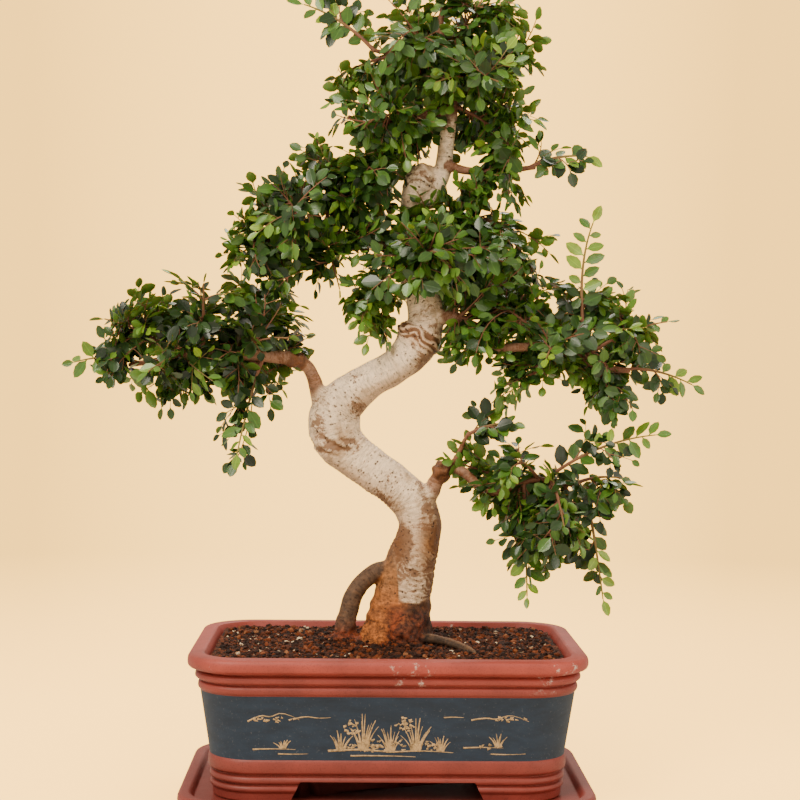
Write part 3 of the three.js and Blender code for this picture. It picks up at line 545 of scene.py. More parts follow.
def slate_slip(settings):
    """Slate-coloured slip brushed on the clay: matt, a little streaked, rubbed pale in spots."""
    material, nodes, shader, place = new_material("slate slip")
    drawn = add(nodes, "Mapping", {"Vector": place, "Scale": (0.35, 0.35, 1)})
    brush = add(
        nodes, "TexNoise", {"Vector": drawn, "Scale": marks_of(8.3), "Detail": 6, "Roughness": 0.65}
    )
    streaked = add(
        nodes, "ValToRGB", {"Fac": brush},
        stops=[(0.3, toned(settings.slip, 0.72)), (0.75, toned(settings.slip, 1.35))]
    )

    # Rubbed pale in spots
    dust = add(
        nodes, "TexNoise", {"Vector": place, "Scale": marks_of(2.4), "Detail": 5, "Roughness": 0.7}
    )
    dusty = add(nodes, "ValToRGB", {"Fac": dust}, stops=[(0.6, grey(0)), (0.78, grey(0.35))])
    colour = add(nodes, "Mix", {0: dusty, 6: streaked, 7: linear("#8C8A84")}, **MIXED)
    bump = add(nodes, "Bump", {"Height": brush, "Strength": 0.2, "Distance": 0.0007})
    grit = add(nodes, "Bump", {"Height": dust, "Strength": 0.1, "Distance": 0.0004, "Normal": bump})
    feed(
        nodes, shader,
        {"Base Color": colour, "Roughness": 0.58, "Specular IOR Level": 0.4, "Normal": grit}
    )
    return material


def ochre_line(settings):
    """Ochre enamel drawn in relief on the slip, with its colour worn off in flecks."""
    material, nodes, shader, place = new_material("ochre line")
    wear = add(
        nodes, "TexNoise", {"Vector": place, "Scale": marks_of(3.8), "Detail": 6, "Roughness": 0.7}
    )
    colour = add(
        nodes, "ValToRGB", {"Fac": wear},
        stops=[(0.34, toned(settings.line, 0.35)), (0.55, settings.line)]
    )
    bump = add(nodes, "Bump", {"Height": wear, "Strength": 0.3, "Distance": 0.0005})
    feed(nodes, shader, {"Base Color": colour, "Roughness": 0.5, "Normal": bump})
    return material


def damp_soil(settings):
    """Damp potting soil: dark crumbs with warm clay grains and a little pale grit between."""
    material, nodes, shader, place = new_material("damp potting soil")
    # The tone: each crumb's own, and on the ground painted shade, darker in the soil's hollows
    tone = add(nodes, "Attribute", attribute_name="tone").outputs["Fac"]

    # Cells as wide as a common crumb, each with its own tone
    cells = add(nodes, "TexVoronoi", {"Vector": place, "Scale": 1 / 0.0032})
    hue = add(nodes, "SeparateColor", {"Color": cells.outputs["Color"]}).outputs["Red"]
    dulled = add(nodes, "Math", {0: hue, 1: 0.2}, operation="MULTIPLY")
    mixed = add(nodes, "Math", {0: dulled, 1: tone}, operation="ADD")
    fine = add(
        nodes, "TexNoise", {"Vector": place, "Scale": marks_of(1.43), "Detail": 6, "Roughness": 0.7}
    )
    strayed = add(nodes, "Math", {0: fine, 1: 0.36, 2: mixed}, operation="MULTIPLY_ADD")
    colour = add(
        nodes, "ValToRGB", {"Fac": strayed},
        stops=[
            (0.12, toned(settings.dark, 0.5)), (1.0, settings.pale), (0.36, settings.dark),
            (0.56, settings.warm), (0.74, settings.red), (0.9, linear("#9C6B45"))
        ]
    )
    bump = add(nodes, "Bump", {"Height": fine, "Strength": 0.6, "Distance": 0.001})
    feed(
        nodes, shader,
        {"Base Color": colour, "Roughness": 0.82, "Specular IOR Level": 0.3, "Normal": bump}
    )
    return material


def elm_bark(settings):
    """Living elm bark: a smooth skin, with brown patches, dark pores and fine cross wrinkles.

    Its base colour, its age, its pores and its crumbly places come from the wood's mesh.
    """
    material, nodes, shader, place = new_material("elm bark")
    grain, tint = (
        add(nodes, "Attribute", attribute_name=name).outputs["Vector"] for name in ("grain", "tint")
    )
    age, dots, crumb = (
        add(nodes, "Attribute", attribute_name=name).outputs["Fac"] for name in ("age", "dots", "crumb")
    )

    # The skin, mottled and specked, with wrinkles that run round the limb
    cloud = add(
        nodes, "TexNoise", {"Vector": place, "Scale": marks_of(18.2), "Detail": 6, "Roughness": 0.62}
    )
    skin = add(
        nodes, "ValToRGB", {"Fac": cloud},
        stops=[(0.32, (0.6, 0.53, 0.46)), (0.62, (1.1, 1.1, 1.1)), (0.46, grey(1))]
    )
    tinted = add(nodes, "Mix", {0: 1.0, 6: skin, 7: tint}, **MULTIPLIED)
    dust = add(
        nodes, "TexNoise", {"Vector": place, "Scale": marks_of(1.79), "Detail": 3, "Roughness": 0.7}
    )
    dusted = add(nodes, "ValToRGB", {"Fac": dust}, stops=[(0.6, grey(1)), (0.7, (0.45, 0.36, 0.28))])
    specked = add(nodes, "Mix", {0: 1.0, 6: tinted, 7: dusted}, **MULTIPLIED)
    flat = add(nodes, "Mapping", {"Vector": grain, "Scale": (0.2, 0.2, 1)})
    wrinkle = add(
        nodes, "TexNoise",
        {"Vector": flat, "Scale": marks_of(2.1), "Detail": 5, "Roughness": 0.62, "Distortion": 0.5}
    )
    lined = add(
        nodes, "ValToRGB", {"Fac": wrinkle},
        stops=[(0.34, grey(0.5)), (0.7, grey(1.2)), (0.48, grey(1))]
    )
    creased = add(nodes, "Mix", {0: 0.75, 6: specked, 7: lined}, **MULTIPLIED)

    # Brown patches where the bark is old
    patch = add(
        nodes, "TexNoise",
        {"Vector": place, "Scale": marks_of(9), "Detail": 8, "Roughness": 0.78, "Distortion": 0.4}
    )
    streaked = add(nodes, "Math", {0: wrinkle, 1: 0.6, 2: age}, operation="MULTIPLY_ADD")
    aged = add(nodes, "Math", {0: patch, 1: streaked}, operation="ADD")
    patched = add(nodes, "ValToRGB", {"Fac": aged}, stops=[(0.88, grey(0)), (1.0, grey(0.85))])
    browned = add(nodes, "Mix", {0: patched, 6: creased, 7: settings.brown}, **MIXED)

    # Dark pores with ragged rims
    wide = add(nodes, "Mapping", {"Vector": grain, "Scale": (0.75, 0.75, 1.1)})
    fray = add(nodes, "TexNoise", {"Vector": place, "Scale": marks_of(1.61), "Detail": 3})
    ragged = add(
        nodes, "VectorMath", {0: fray.outputs["Color"], 1: (0.0022, 0.0022, 0.0022), 2: wide},
        operation="MULTIPLY_ADD"
    )
    pores = add(nodes, "TexVoronoi", {"Vector": ragged, "Scale": marks_of(2.8)})
    pore = add(nodes, "ValToRGB", {"Fac": pores}, stops=[(0.14, grey(1)), (0.4, grey(0))])
    seldom = add(nodes, "SeparateColor", {"Color": pores.outputs["Color"]}).outputs["Green"]
    many = add(nodes, "Math", {0: seldom, 1: dots}, operation="ADD")
    some = add(nodes, "MapRange", {"Value": many, "From Min": 0.66, "From Max": 0.78})
    dotted = add(nodes, "Math", {0: pore, 1: some}, operation="MULTIPLY")
    spotted = add(nodes, "Mix", {0: dotted, 6: browned, 7: linear("#3E2618")}, **MIXED)

    # The crumbly mat of fine roots
    rust = add(
        nodes, "TexNoise", {"Vector": place, "Scale": marks_of(4.8), "Detail": 8, "Roughness": 0.75}
    )
    mat = add(
        nodes, "ValToRGB", {"Fac": rust},
        stops=[(0.4, (0.2, 0.17, 0.15)), (0.62, (1.9, 1.75, 1.5)), (0.5, grey(0.85))]
    )
    crumbled = add(nodes, "Mix", {0: crumb, 6: spotted, 7: mat}, **MULTIPLIED)

    relief = add(nodes, "Bump", {"Height": wrinkle, "Strength": 0.4, "Distance": 0.0013})
    pitted = add(
        nodes, "Bump", {"Height": dotted, "Strength": 0.5, "Distance": 0.0008, "Normal": relief},
        invert=True
    )
    deep = add(nodes, "MapRange", {"Value": crumb, "To Min": 0.15, "To Max": 0.9})
    rough = add(nodes, "Bump", {"Height": rust, "Strength": deep, "Distance": 0.003, "Normal": pitted})
    feed(
        nodes, shader,
        {"Base Color": crumbled, "Roughness": 0.62, "Specular IOR Level": 0.35, "Normal": rough}
    )
    return material


def elm_leaf(settings, twig):
    """Leathery elm leaves with a waxy gloss and a pale rib, on reddish-brown twigs.

    The blade's map holds the upper face in its first tile and the underside two tiles on.
    """
    material, nodes, shader, place = new_material("waxy elm leaf")
    tone = add(nodes, "Attribute", attribute_name="tone").outputs["Fac"]
    wood = add(nodes, "Attribute", attribute_name="wood").outputs["Fac"]
    blade = add(nodes, "UVMap", uv_map="blade").outputs["UV"]
    aged = add(
        nodes, "ValToRGB", {"Fac": tone},
        stops=[
            (0.0, toned(settings.deep, 0.28)), (1.0, settings.fresh), (0.34, settings.deep),
            (0.66, settings.middle)
        ]
    )
    blotch = add(nodes, "TexNoise", {"Vector": place, "Scale": marks_of(6.7), "Detail": 4})
    shade = add(nodes, "ValToRGB", {"Fac": blotch}, stops=[(0.3, grey(0.72)), (0.7, grey(1.05))])
    mottled = add(nodes, "Mix", {0: 1.0, 6: aged, 7: shade}, **MULTIPLIED)

    # The rib along the middle of the blade, and the veins that slant off it
    split = add(nodes, "SeparateXYZ", {"Vector": blade})
    under = add(nodes, "Math", {0: split.outputs["X"], 1: 1.5}, operation="GREATER_THAN")
    shifted = add(nodes, "Math", {0: under, 1: -2, 2: split.outputs["X"]}, operation="MULTIPLY_ADD")
    across = add(nodes, "Math", {0: shifted, 1: 0.5}, operation="SUBTRACT")
    aside = add(nodes, "Math", {0: across}, operation="ABSOLUTE")
    rib = add(
        nodes, "MapRange",
        {"Value": aside, "From Min": 0.015, "From Max": 0.055, "To Min": 1, "To Max": 0}
    )
    swept = add(nodes, "Math", {0: aside, 1: -0.9, 2: split.outputs["Y"]}, operation="MULTIPLY_ADD")
    ripple = add(nodes, "Math", {0: swept, 1: 62}, operation="MULTIPLY")
    vein = add(nodes, "Math", {0: ripple}, operation="SINE")
    veined = add(nodes, "MapRange", {"Value": vein, "From Min": 0.7, "From Max": 1, "To Max": 0.35})
    lines = add(nodes, "Math", {0: rib, 1: veined}, operation="MAXIMUM")
    paler = add(nodes, "Mix", {0: 1.0, 6: mottled, 7: (2.0, 1.8, 1.8)}, **MULTIPLIED)
    ribbed = add(nodes, "Math", {0: lines, 1: 0.5}, operation="MULTIPLY")
    drawn = add(nodes, "Mix", {0: ribbed, 6: mottled, 7: paler}, **MIXED)

    # The paler underside, and the twigs
    turned = add(nodes, "Math", {0: under, 1: 0.65}, operation="MULTIPLY")
    sided = add(nodes, "Mix", {0: turned, 6: drawn, 7: settings.under}, **MIXED)
    bark = add(nodes, "ValToRGB", {"Fac": tone}, stops=[(0.3, twig), (0.95, linear("#7F7A34"))])
    colour = add(nodes, "Mix", {0: wood, 6: sided, 7: bark}, **MIXED)
    gloss = add(nodes, "MapRange", {"Value": wood, "To Min": 0.3, "To Max": 0.7})
    bump = add(nodes, "Bump", {"Height": lines, "Strength": 0.25, "Distance": 0.0003}, invert=True)
    feed(
        nodes, shader,
        {
            "Base Color": colour, "Roughness": gloss, "Specular IOR Level": 0.5,
            "Subsurface Weight": 0.06, "Subsurface Scale": 0.002, "Normal": bump
        }
    )
    return material


def woven_mesh():
    """Black polyethylene netting, moulded: even and slightly shiny, with dust in its pores."""
    material, nodes, shader, place = new_material("polyethylene netting")
    dust = add(nodes, "TexNoise", {"Vector": place, "Scale": marks_of(2), "Detail": 4})
    colour = add(
        nodes, "ValToRGB", {"Fac": dust}, stops=[(0.4, linear("#1E1E1D")), (0.7, linear("#3A3632"))]
    )
    feed(nodes, shader, {"Base Color": colour, "Roughness": 0.45})
    return material


# The clay pot and tray


# Facets round each corner of the pot and the tray
CORNER_SEGMENTS = 10


def rounded_slab(width, depth, corner, z):
    """A flat rounded rectangle in edit mode, its one face selected."""
    clear_selection()
    bpy.ops.mesh.primitive_plane_add(size=1, location=(0, 0, z))
    piece = scaled((width, depth, 1))
    bpy.ops.object.mode_set(mode="EDIT")
    bpy.ops.mesh.bevel(offset=corner, segments=CORNER_SEGMENTS, affect="VERTICES")
    return piece


def mould(size, rings):
    """Draws the selected face through rings of inset and height, as a moulded profile.

    A ring marked even keeps its offset the same round the corners, which tightens them.
    """
    width, depth = size
    inset, height = rings[0]
    for ring in rings[1:]:
        next_inset, next_height = ring[:2]
        if len(ring) > 2:
            rise = abs(next_height - height)
            bpy.ops.mesh.inset(thickness=next_inset - inset, depth=rise)
        else:
            lift = {"value": (0, 0, next_height - height)}
            bpy.ops.mesh.extrude_region_move(TRANSFORM_OT_translate=lift)
            grow = [(side - 2 * next_inset) / (side - 2 * inset) for side in (width, depth)]
            bpy.ops.transform.resize(value=(*grow, 1), center_override=(0, 0, next_height))
        inset, height = next_inset, next_height


def soften(piece, width, segments=3, angle=28):
    """Rounds the edges of a piece and merges its doubles."""
    modify(
        piece, "BEVEL", width=width, segments=segments, limit_method="ANGLE",
        angle_limit=math.radians(angle)
    )
    edit(piece, "SELECT")
    bpy.ops.mesh.remove_doubles(threshold=0.00002)
    bpy.ops.mesh.normals_make_consistent(inside=False)
    bpy.ops.object.mode_set(mode="OBJECT")
    bpy.ops.object.shade_smooth_by_angle(angle=math.radians(34))


def bar(size, place, flare, along="Y"):
    """A bar whose underside is wider than its top, to cut the gap between two feet."""
    clear_selection()
    bpy.ops.mesh.primitive_cube_add(size=1, location=place)
    piece = scaled(size)
    select_faces(piece, lambda face: face.normal.z < -0.9)
    width = size[0] if along == "Y" else size[1]
    wider = (width + 2 * flare) / width
    grow = (wider, 1, 1) if along == "Y" else (1, wider, 1)
    bpy.ops.transform.resize(value=grow, center_override=place)
    bpy.ops.object.mode_set(mode="OBJECT")
    return piece


def cut(piece, tool):
    """Cuts a tool out of a piece and throws the tool away."""
    modify(piece, "BOOLEAN", operation="DIFFERENCE", solver="EXACT", object=tool)
    bpy.data.objects.remove(tool)


def in_metres(rings):
    """Rings given in mm, in metres."""
    return [(inset * MM, height * MM, *mark) for inset, height, *mark in rings]


# The tray's outside from its foot up, and its lip down to the sunken floor: inset and height in mm
TRAY_RINGS = [(4, 0), (4, 2), (0.6, 9), (0, 11), (0.3, 14), (2.2, 16)]
TRAY_LIP = [(9, 16, "even"), (11, 14.5), (13, 11)]


class BONSAI_OT_tray(bpy.types.Operator):
    """Builds the drip tray: a moulded plate with a lip round its sunken floor"""

    bl_idname = "bonsai.tray"
    bl_label = "Tray"

    def execute(self, context):
        settings = context.scene.bonsai_pot
        low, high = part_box("tray")
        size = (high.x - low.x, high.y - low.y)
        corner = settings.corner + 0.002
        rings, lip = in_metres(TRAY_RINGS), in_metres(TRAY_LIP)
        piece = rounded_slab(size[0] - 2 * rings[0][0], size[1] - 2 * rings[0][0], corner, 0)
        mould(size, rings)
        mould(size, [rings[-1], *lip])
        soften(piece, 0.0011)
        close_piece(piece, "clay_tray", [fired_clay("fired clay tray", settings)], "red_clay", "tray")
        return {"FINISHED"}


# The pot's moulded outside from the rim down: inset and height in mm
POT_RINGS = [
    (5, 128), (3, 127.9), (1.4, 127.1), (0.4, 125.6), (0, 123.6), (0, 120.6), (0.5, 118.6),
    (1.8, 117.2), (4.2, 116), (7.6, 115.4), (8.8, 114.8), (8.7, 114.3), (7.2, 113.6), (6.1, 112.2),
    (5.8, 110.4), (6.1, 108.9), (7.4, 107.6), (9.6, 106.9), (10.6, 106.3), (10.4, 105.6), (9, 104.9),
    (8.3, 103.6), (8.1, 101.8), (8.5, 100), (9.2, 99), (10, 98.2), (17.8, 45.6), (17, 44.6), (16.6, 43),
    (16.5, 38), (16.9, 35.4), (18.2, 34), (20.2, 33.1), (20.6, 32.4), (20.4, 31.9), (18.6, 31.2),
    (17.9, 29.8), (17.7, 28.4), (18, 27), (19, 26), (20.6, 25.4), (21, 24.9), (20.7, 24.4), (19, 23.8),
    (18.3, 22.6), (18.1, 21.2), (18.5, 20), (19.4, 19), (20, 18.2), (20.1, 17.4), (20.2, 12.6),
    (20.6, 11.8), (21.5, 11.3)
]

# Inside the feet, up to the pot's underside, and inside the pot, down to its floor
FOOT_RINGS = [(34.5, 11.2, "even"), (38.5, 28)]
INSIDE_RINGS = [(21, 112), (27.5, 46), (33, 38)]

# The gaps between the feet under the long and short sides, and how much each flares to its foot
FRONT_GAP = 0.14
SIDE_GAP = 0.096
GAP_FLARE = 0.008
UNDERSIDE = 0.028

DRAIN_PLACES = (-0.078, 0.078)
DRAIN_RADIUS = 0.011

# The slate panels: the height and inset of their top and foot edges, in mm
PANEL = {"top": 98.2, "top_inset": 10, "foot": 45.6, "foot_inset": 17.8}


class BONSAI_OT_pot(bpy.types.Operator):
    """Builds the rectangular pot with its moulded bands, slate panels and corner feet"""

    bl_idname = "bonsai.pot"
    bl_label = "Pot"

    def execute(self, context):
        settings = context.scene.bonsai_pot
        low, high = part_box("pot")
        size = (high.x - low.x, high.y - low.y)
        rings = in_metres(POT_RINGS)
        inset, mouth = rings[0]
        piece = rounded_slab(size[0] - 2 * inset, size[1] - 2 * inset, settings.corner, mouth)
        bpy.ops.mesh.flip_normals()
        mould(size, rings)
        mould(size, [rings[-1], *in_metres(FOOT_RINGS)])
        select_faces(piece, lambda face: face.normal.z > 0.99 and face.center.z > mouth - 0.1 * MM)
        wall = settings.wall / MM
        lip = [(wall - 1.2, 128.1, "even"), (wall + 0.3, 127.3), (wall + 1, 125.6)]
        mould(size, in_metres([POT_RINGS[0], *lip, *INSIDE_RINGS]))
        bpy.ops.object.mode_set(mode="OBJECT")
        self.cut_feet_and_drains(piece, size)
        soften(piece, 0.0007, segments=2, angle=24)
        close_piece(
            piece, "clay_pot", [fired_clay("fired clay pot", settings), slate_slip(settings)],
            "red_clay", "pot"
        )
        for face in piece.data.polygons:
            upright = abs(face.normal.z) < 0.3
            outside = face.normal.x * face.center.x + face.normal.y * face.center.y > 0
            on_panel = PANEL["foot"] * MM < face.center.z < PANEL["top"] * MM
            if upright and outside and on_panel:
                face.material_index = 1
        return {"FINISHED"}

    def cut_feet_and_drains(self, piece, size):
        """Cuts the gaps between the feet, wider at the bottom, and the drain holes."""
        over = height = 0.04
        place = (0, 0, UNDERSIDE - height / 2)
        flare = GAP_FLARE * height / (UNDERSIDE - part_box("pot")[0].z)
        cut(piece, bar((FRONT_GAP, size[1] + over, height), place, flare))
        cut(piece, bar((size[0] + over, SIDE_GAP, height), place, flare, along="X"))
        for x in DRAIN_PLACES:
            clear_selection()
            bpy.ops.mesh.primitive_cylinder_add(
                vertices=32, radius=DRAIN_RADIUS, depth=0.03, location=(x, 0, 0.033)
            )
            cut(piece, bpy.context.active_object)


# The drawing on the front and back panels: a reedy bank with shrubs, hills and ripples. Each
# line is its points, as x along the panel and height over its foot in mm, and its half width.
LINES = [
    ([(-48, 8), (-24, 10), (2, 7), (28, 9), (52, 7)], 0.8), ([(-30, 4), (-4, 4.6), (22, 3.4)], 0.6),
    ([(-108, 9), (-92, 10), (-74, 9)], 0.6), ([(-88, 5.4), (-76, 4.8), (-62, 5.6)], 0.5),
    ([(60, 11), (76, 12), (92, 11)], 0.6), ([(82, 6), (96, 5.2), (110, 6.2)], 0.5),
    ([(-112, 32), (-102, 38), (-94, 35), (-84, 41), (-70, 33)], 0.6),
    ([(-76, 34), (-66, 37), (-56, 34.5), (-46, 35.5)], 0.6),
    ([(66, 34), (78, 36.5), (86, 34), (98, 40), (112, 33)], 0.6),
    ([(44, 36), (52, 36.8), (60, 36)], 0.5)
]

# Clumps of reeds: x, foot, half width, height and number of blades
TUFTS = [
    (-38, 8, 8, 20, 8), (-20, 9, 9, 36, 11), (2, 7, 8, 26, 10), (22, 8, 10, 32, 12), (42, 8, 7, 16, 8),
    (88, 12, 7, 12, 7), (-84, 10, 6, 10, 6)
]

# Leaves about one place: x, height, half sizes, number of strokes and their slant
DABS = [
    (-30, 27, 7, 6, 24, 0.3), (12, 30, 8, 6, 26, 0.2), (2, 12, 42, 5, 96, 0.1), (84, 12, 12, 2, 8, 0),
    (-92, 34, 16, 2, 14, 0), (96, 35, 14, 2, 12, 0)
]


def tuft(draw, x, foot, wide, tall, count):
    """Blades that fan out of one place."""
    blades = []
    for i in range(count):
        lean = wide * (2 * (i + draw.random()) / count - 1)
        height = tall * draw.uniform(0.6, 1) * (1 - 0.35 * abs(lean) / wide)
        start = x + lean * 0.35
        points = [(start, foot), (start + lean * 0.25, foot + height * 0.6), (start + lean, foot + height)]
        blades.append((points, draw.uniform(0.5, 1.05)))
    return blades


def dabs(draw, x, height, wide, tall, count, slant):
    """Short strokes of leaves about one place."""
    strokes = []
    for _ in range(count):
        around, reach = draw.uniform(0, 2 * math.pi), math.sqrt(draw.random())
        foot = (x + wide * reach * math.cos(around), height + tall * reach * math.sin(around))
        way, long = slant + draw.uniform(-0.6, 0.6), draw.uniform(1.4, 3.4)
        tip = (foot[0] + long * math.cos(way), foot[1] + long * math.sin(way))
        strokes.append(([foot, tip], draw.uniform(0.55, 1.2)))
    return strokes


def drawing_strokes():
    """Every stroke of one panel."""
    draw = random.Random(SEED)
    strokes = list(LINES)
    for clump in TUFTS:
        strokes += tuft(draw, *clump)
    for spread in DABS:
        strokes += dabs(draw, *spread)
    return strokes


class BONSAI_OT_drawing(bpy.types.Operator):
    """Draws reeds, hills and ripples in relief on the pot's long panels"""

    bl_idname = "bonsai.drawing"
    bl_label = "Drawing"

    def execute(self, context):
        settings = context.scene.bonsai_pot
        curve = new_curve("strokes", 1 * MM, 1)
        curve.resolution_u = 3
        draw = random.Random(SEED)
        for points, half in drawing_strokes():
            spline = curve.splines.new("NURBS")
            spline.points.add(len(points) - 1)
            spline.order_u = min(3, len(points))
            spline.use_endpoint_u = True
            for i, (x, height) in enumerate(points):
                share = i / (len(points) - 1)
                spline.points[i].co = (x * MM, height * MM, 0, 1)
                spline.points[i].radius = half * (1.25 - 0.9 * share + 0.2 * draw.random())
        flat = meshed(curve)
        places, faces = arrays_of(flat)
        bpy.data.objects.remove(flat)
        rise = (PANEL["top"] - PANEL["foot"]) * MM
        slope = (PANEL["foot_inset"] - PANEL["top_inset"]) * MM / rise
        panel_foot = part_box("pot")[1].y - PANEL["foot_inset"] * MM
        x, height = places[:, 0], places[:, 1]
        proud = places[:, 2] * 0.5 - 0.0001
        ochre = ochre_line(settings)
        for name, side in (("front_drawing", -1), ("back_drawing", 1)):
            y = side * (panel_foot + slope * height + proud)
            moved = np.stack([-side * x, y, PANEL["foot"] * MM + height], axis=1)
            piece = mesh_piece(name, moved, faces)
            edit(piece, "SELECT")
            bpy.ops.mesh.normals_make_consistent(inside=False)
            bpy.ops.object.mode_set(mode="OBJECT")
            bpy.ops.object.shade_smooth()
            close_piece(piece, name, [ochre], "red_clay")
        return {"FINISHED"}


class BONSAI_OT_screens(bpy.types.Operator):
    """Gives the screens over the drain holes their finish"""

    bl_idname = "bonsai.screens"
    bl_label = "Drain screens"

    def execute(self, context):
        netting = woven_mesh()
        for name in ("drain_screen_left", "drain_screen_right"):
            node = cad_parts[name]
            node.data.materials.clear()
            node.data.materials.append(netting)
        return {"FINISHED"}


# The soil


# How much narrower the soil is than its solid, the radius of its corners, how far its grains
# keep off its edge, and the recesses under it that hold the screens
SOIL_PLAY = 0.0006
SOIL_CORNER = 0.027
GRAIN_EDGE = 0.006
SCREEN_RECESS = (0.0326, 0.0326, 0.0036)

# What the soil may fill, from above the pot's mouth down to its floor: inset and height
SOIL_SIDES = [(0, 0.15), (0, 0.1276), (0.0015, 0.125), (0.006, 0.112), (0.0125, 0.046)]


def displace(piece, kind, size, strength, middle=0.5):
    """Raises the top of the soil by a cloud or cell pattern of a real size."""
    texture = bpy.data.textures.new(kind.lower(), kind)
    texture.noise_scale = size
    settings = {"texture": texture, "strength": strength, "mid_level": middle}
    modify(piece, "DISPLACE", texture_coords="LOCAL", direction="Z", vertex_group="top", **settings)


def soil_height(x, y):
    """The soil's height over its level: raised at the trunk and over the arching root."""
    from_trunk = np.hypot(x - 0.008, y + 0.004) / 0.05
    from_root = np.hypot((x + 0.035) / 1.2, y + 0.01) / 0.019
    from_lump = np.hypot(x - 0.012, y + 0.033) / 0.017
    mound = 0.003 * np.exp(-(from_trunk**2)) + 0.0075 * np.exp(-(from_root**2))
    return mound + 0.0045 * np.exp(-(from_lump**2)) + SOIL_FILL * MM


# Crumbs on the soil: the share of them up to each tone, and its range from dark to pale
CRUMB_TONES = [(0.48, 0, 0.1), (0.82, 0.12, 0.38), (0.975, 0.38, 0.52), (1, 0.55, 0.9)]

# Every so many grains one is a pale fibre
FIBRE_EVERY = 60
FIBRE_TONE = 0.9


class BONSAI_OT_soil(bpy.types.Operator):
    """Builds the soil that fills the pot, with its crumbs and loose grains"""

    bl_idname = "bonsai.soil"
    bl_label = "Soil"

    def execute(self, context):
        settings = context.scene.bonsai_soil
        low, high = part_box("soil")
        size = (high.x - low.x - SOIL_PLAY, high.y - low.y - SOIL_PLAY)
        level = SOIL_LEVEL * MM
        clear_selection()
        bpy.ops.mesh.primitive_grid_add(
            x_subdivisions=210, y_subdivisions=139, size=1, location=(0, 0, level)
        )
        ground = scaled((size[0] + 0.004, size[1] + 0.004, 1))
        edit(ground, kind="EDGE")
        bpy.ops.mesh.select_non_manifold()
        bpy.ops.mesh.extrude_region_move(TRANSFORM_OT_translate={"value": (0, 0, -0.1)})
        bpy.ops.mesh.edge_face_add()
        bpy.ops.object.mode_set(mode="OBJECT")
        self.shape_ground(ground, level, settings)
        self.trim(ground, size, low.z)
        # Painted shade: the soil's hollows are painted darker and its rises browner, by their height over
        # the mound
        places, _ = arrays_of(ground)
        lift = places[:, 2] - level - soil_height(places[:, 0], places[:, 1])
        point_attribute(ground, "tone", np.clip(0.2 + lift / 0.0075, 0, 0.42))
        bpy.ops.object.shade_smooth_by_angle(angle=math.radians(60))
        soil = damp_soil(settings)
        self.scatter_grains(ground, settings, size, soil)
        close_piece(ground, "potting_soil", [soil], "soil", "soil")
        return {"FINISHED"}

    def shape_ground(self, ground, level, settings):
        """Roughens the top and raises it at the trunk."""
        group = ground.vertex_groups.new(name="top")
        tops = [v.index for v in ground.data.vertices if v.co.z > level - 0.01]
        group.add(tops, 1.0, "REPLACE")
        displace(ground, "CLOUDS", settings.grain * 6, 0.0022)
        displace(ground, "VORONOI", settings.grain, -0.0034, middle=0.3)
        displace(ground, "CLOUDS", settings.grain * 0.7, 0.0014)
        places, _ = arrays_of(ground)
        top = places[:, 2] > level - 0.05
        places[top, 2] += soil_height(places[top, 0], places[top, 1])
        ground.data.vertices.foreach_set("co", places.ravel())
        ground.data.update()

    def trim(self, ground, size, foot):
        """Keeps what lies inside the pot."""
        mouth = rounded_slab(*size, SOIL_CORNER, SOIL_SIDES[0][1])
        bpy.ops.mesh.flip_normals()
        mould(size, [*SOIL_SIDES, (0.018, foot)])
        bpy.ops.object.mode_set(mode="OBJECT")
        for x in DRAIN_PLACES:
            clear_selection()
            bpy.ops.mesh.primitive_cube_add(size=1, location=(x, 0, 0.038))
            cut(mouth, scaled(SCREEN_RECESS))
        modify(ground, "BOOLEAN", operation="INTERSECT", solver="MANIFOLD", object=mouth)
        bpy.data.objects.remove(mouth)
        pick(ground)

    def scatter_grains(self, ground, settings, size, soil):
        """Lays loose crumbs, fine grains and a few fibres on the soil."""
        surface = BVHTree.FromObject(ground, bpy.context.evaluated_depsgraph_get())
        corner = SOIL_CORNER + 0.003
        batches = [
            ("soil_crumbs", settings.crumbs, 0.3, 0.8), ("soil_grains", settings.grains, 0.12, 0.34)
        ]
        for seed, (name, count, small, big) in enumerate(batches):
            clear_selection()
            bpy.ops.mesh.primitive_ico_sphere_add(subdivisions=1, radius=1)
            stone = bpy.context.active_object
            shape, corners = arrays_of(stone)
            bpy.data.objects.remove(stone)
            draw = random.Random(SEED + seed)
            places, faces, tones = [], [], []
            for i in range(count):
                x, y = ((draw.random() - 0.5) * (side - 2 * GRAIN_EDGE) for side in size)
                past = [max(abs(v) - side / 2 + corner, 0) for v, side in zip((x, y), size)]
                hit = surface.ray_cast(Vector((x, y, 0.2)), Vector((0, 0, -1)))[0]
                if hit is None or math.hypot(*past) > corner - GRAIN_EDGE + 0.001:
                    continue
                radius = settings.grain * (small + (big - small) * draw.random() ** 2.4)
                stretch = np.array([draw.uniform(0.75, 1.35), draw.uniform(0.75, 1.35), 0.8])
                fibre = name == "soil_grains" and i % FIBRE_EVERY == 0
                if fibre:
                    stretch = np.array([draw.uniform(6, 13), 0.6, 0.6])
                    radius = settings.grain * 0.11
                turn = np.array(Matrix.Rotation(draw.uniform(0, 6.283), 3, "Z"))
                tilt = np.array(Matrix.Rotation(draw.uniform(-0.5, 0.5), 3, "Y"))
                lumpy = shape * [[draw.uniform(0.72, 1.22)] for _ in shape] * stretch * radius
                base = len(places) * len(shape)
                places.append(lumpy @ (turn @ tilt).T + np.array(hit) + UP * radius * 0.3)
                faces.extend(tuple(c + base for c in face) for face in corners)
                tones.append(np.full(len(shape), FIBRE_TONE if fibre else self.crumb_tone(draw)))
            piece = mesh_piece(name, np.concatenate(places), faces)
            point_attribute(piece, "tone", np.concatenate(tones))
            pick(piece)
            bpy.ops.object.shade_smooth_by_angle(angle=math.radians(22))
            close_piece(piece, name, [soil], "soil")

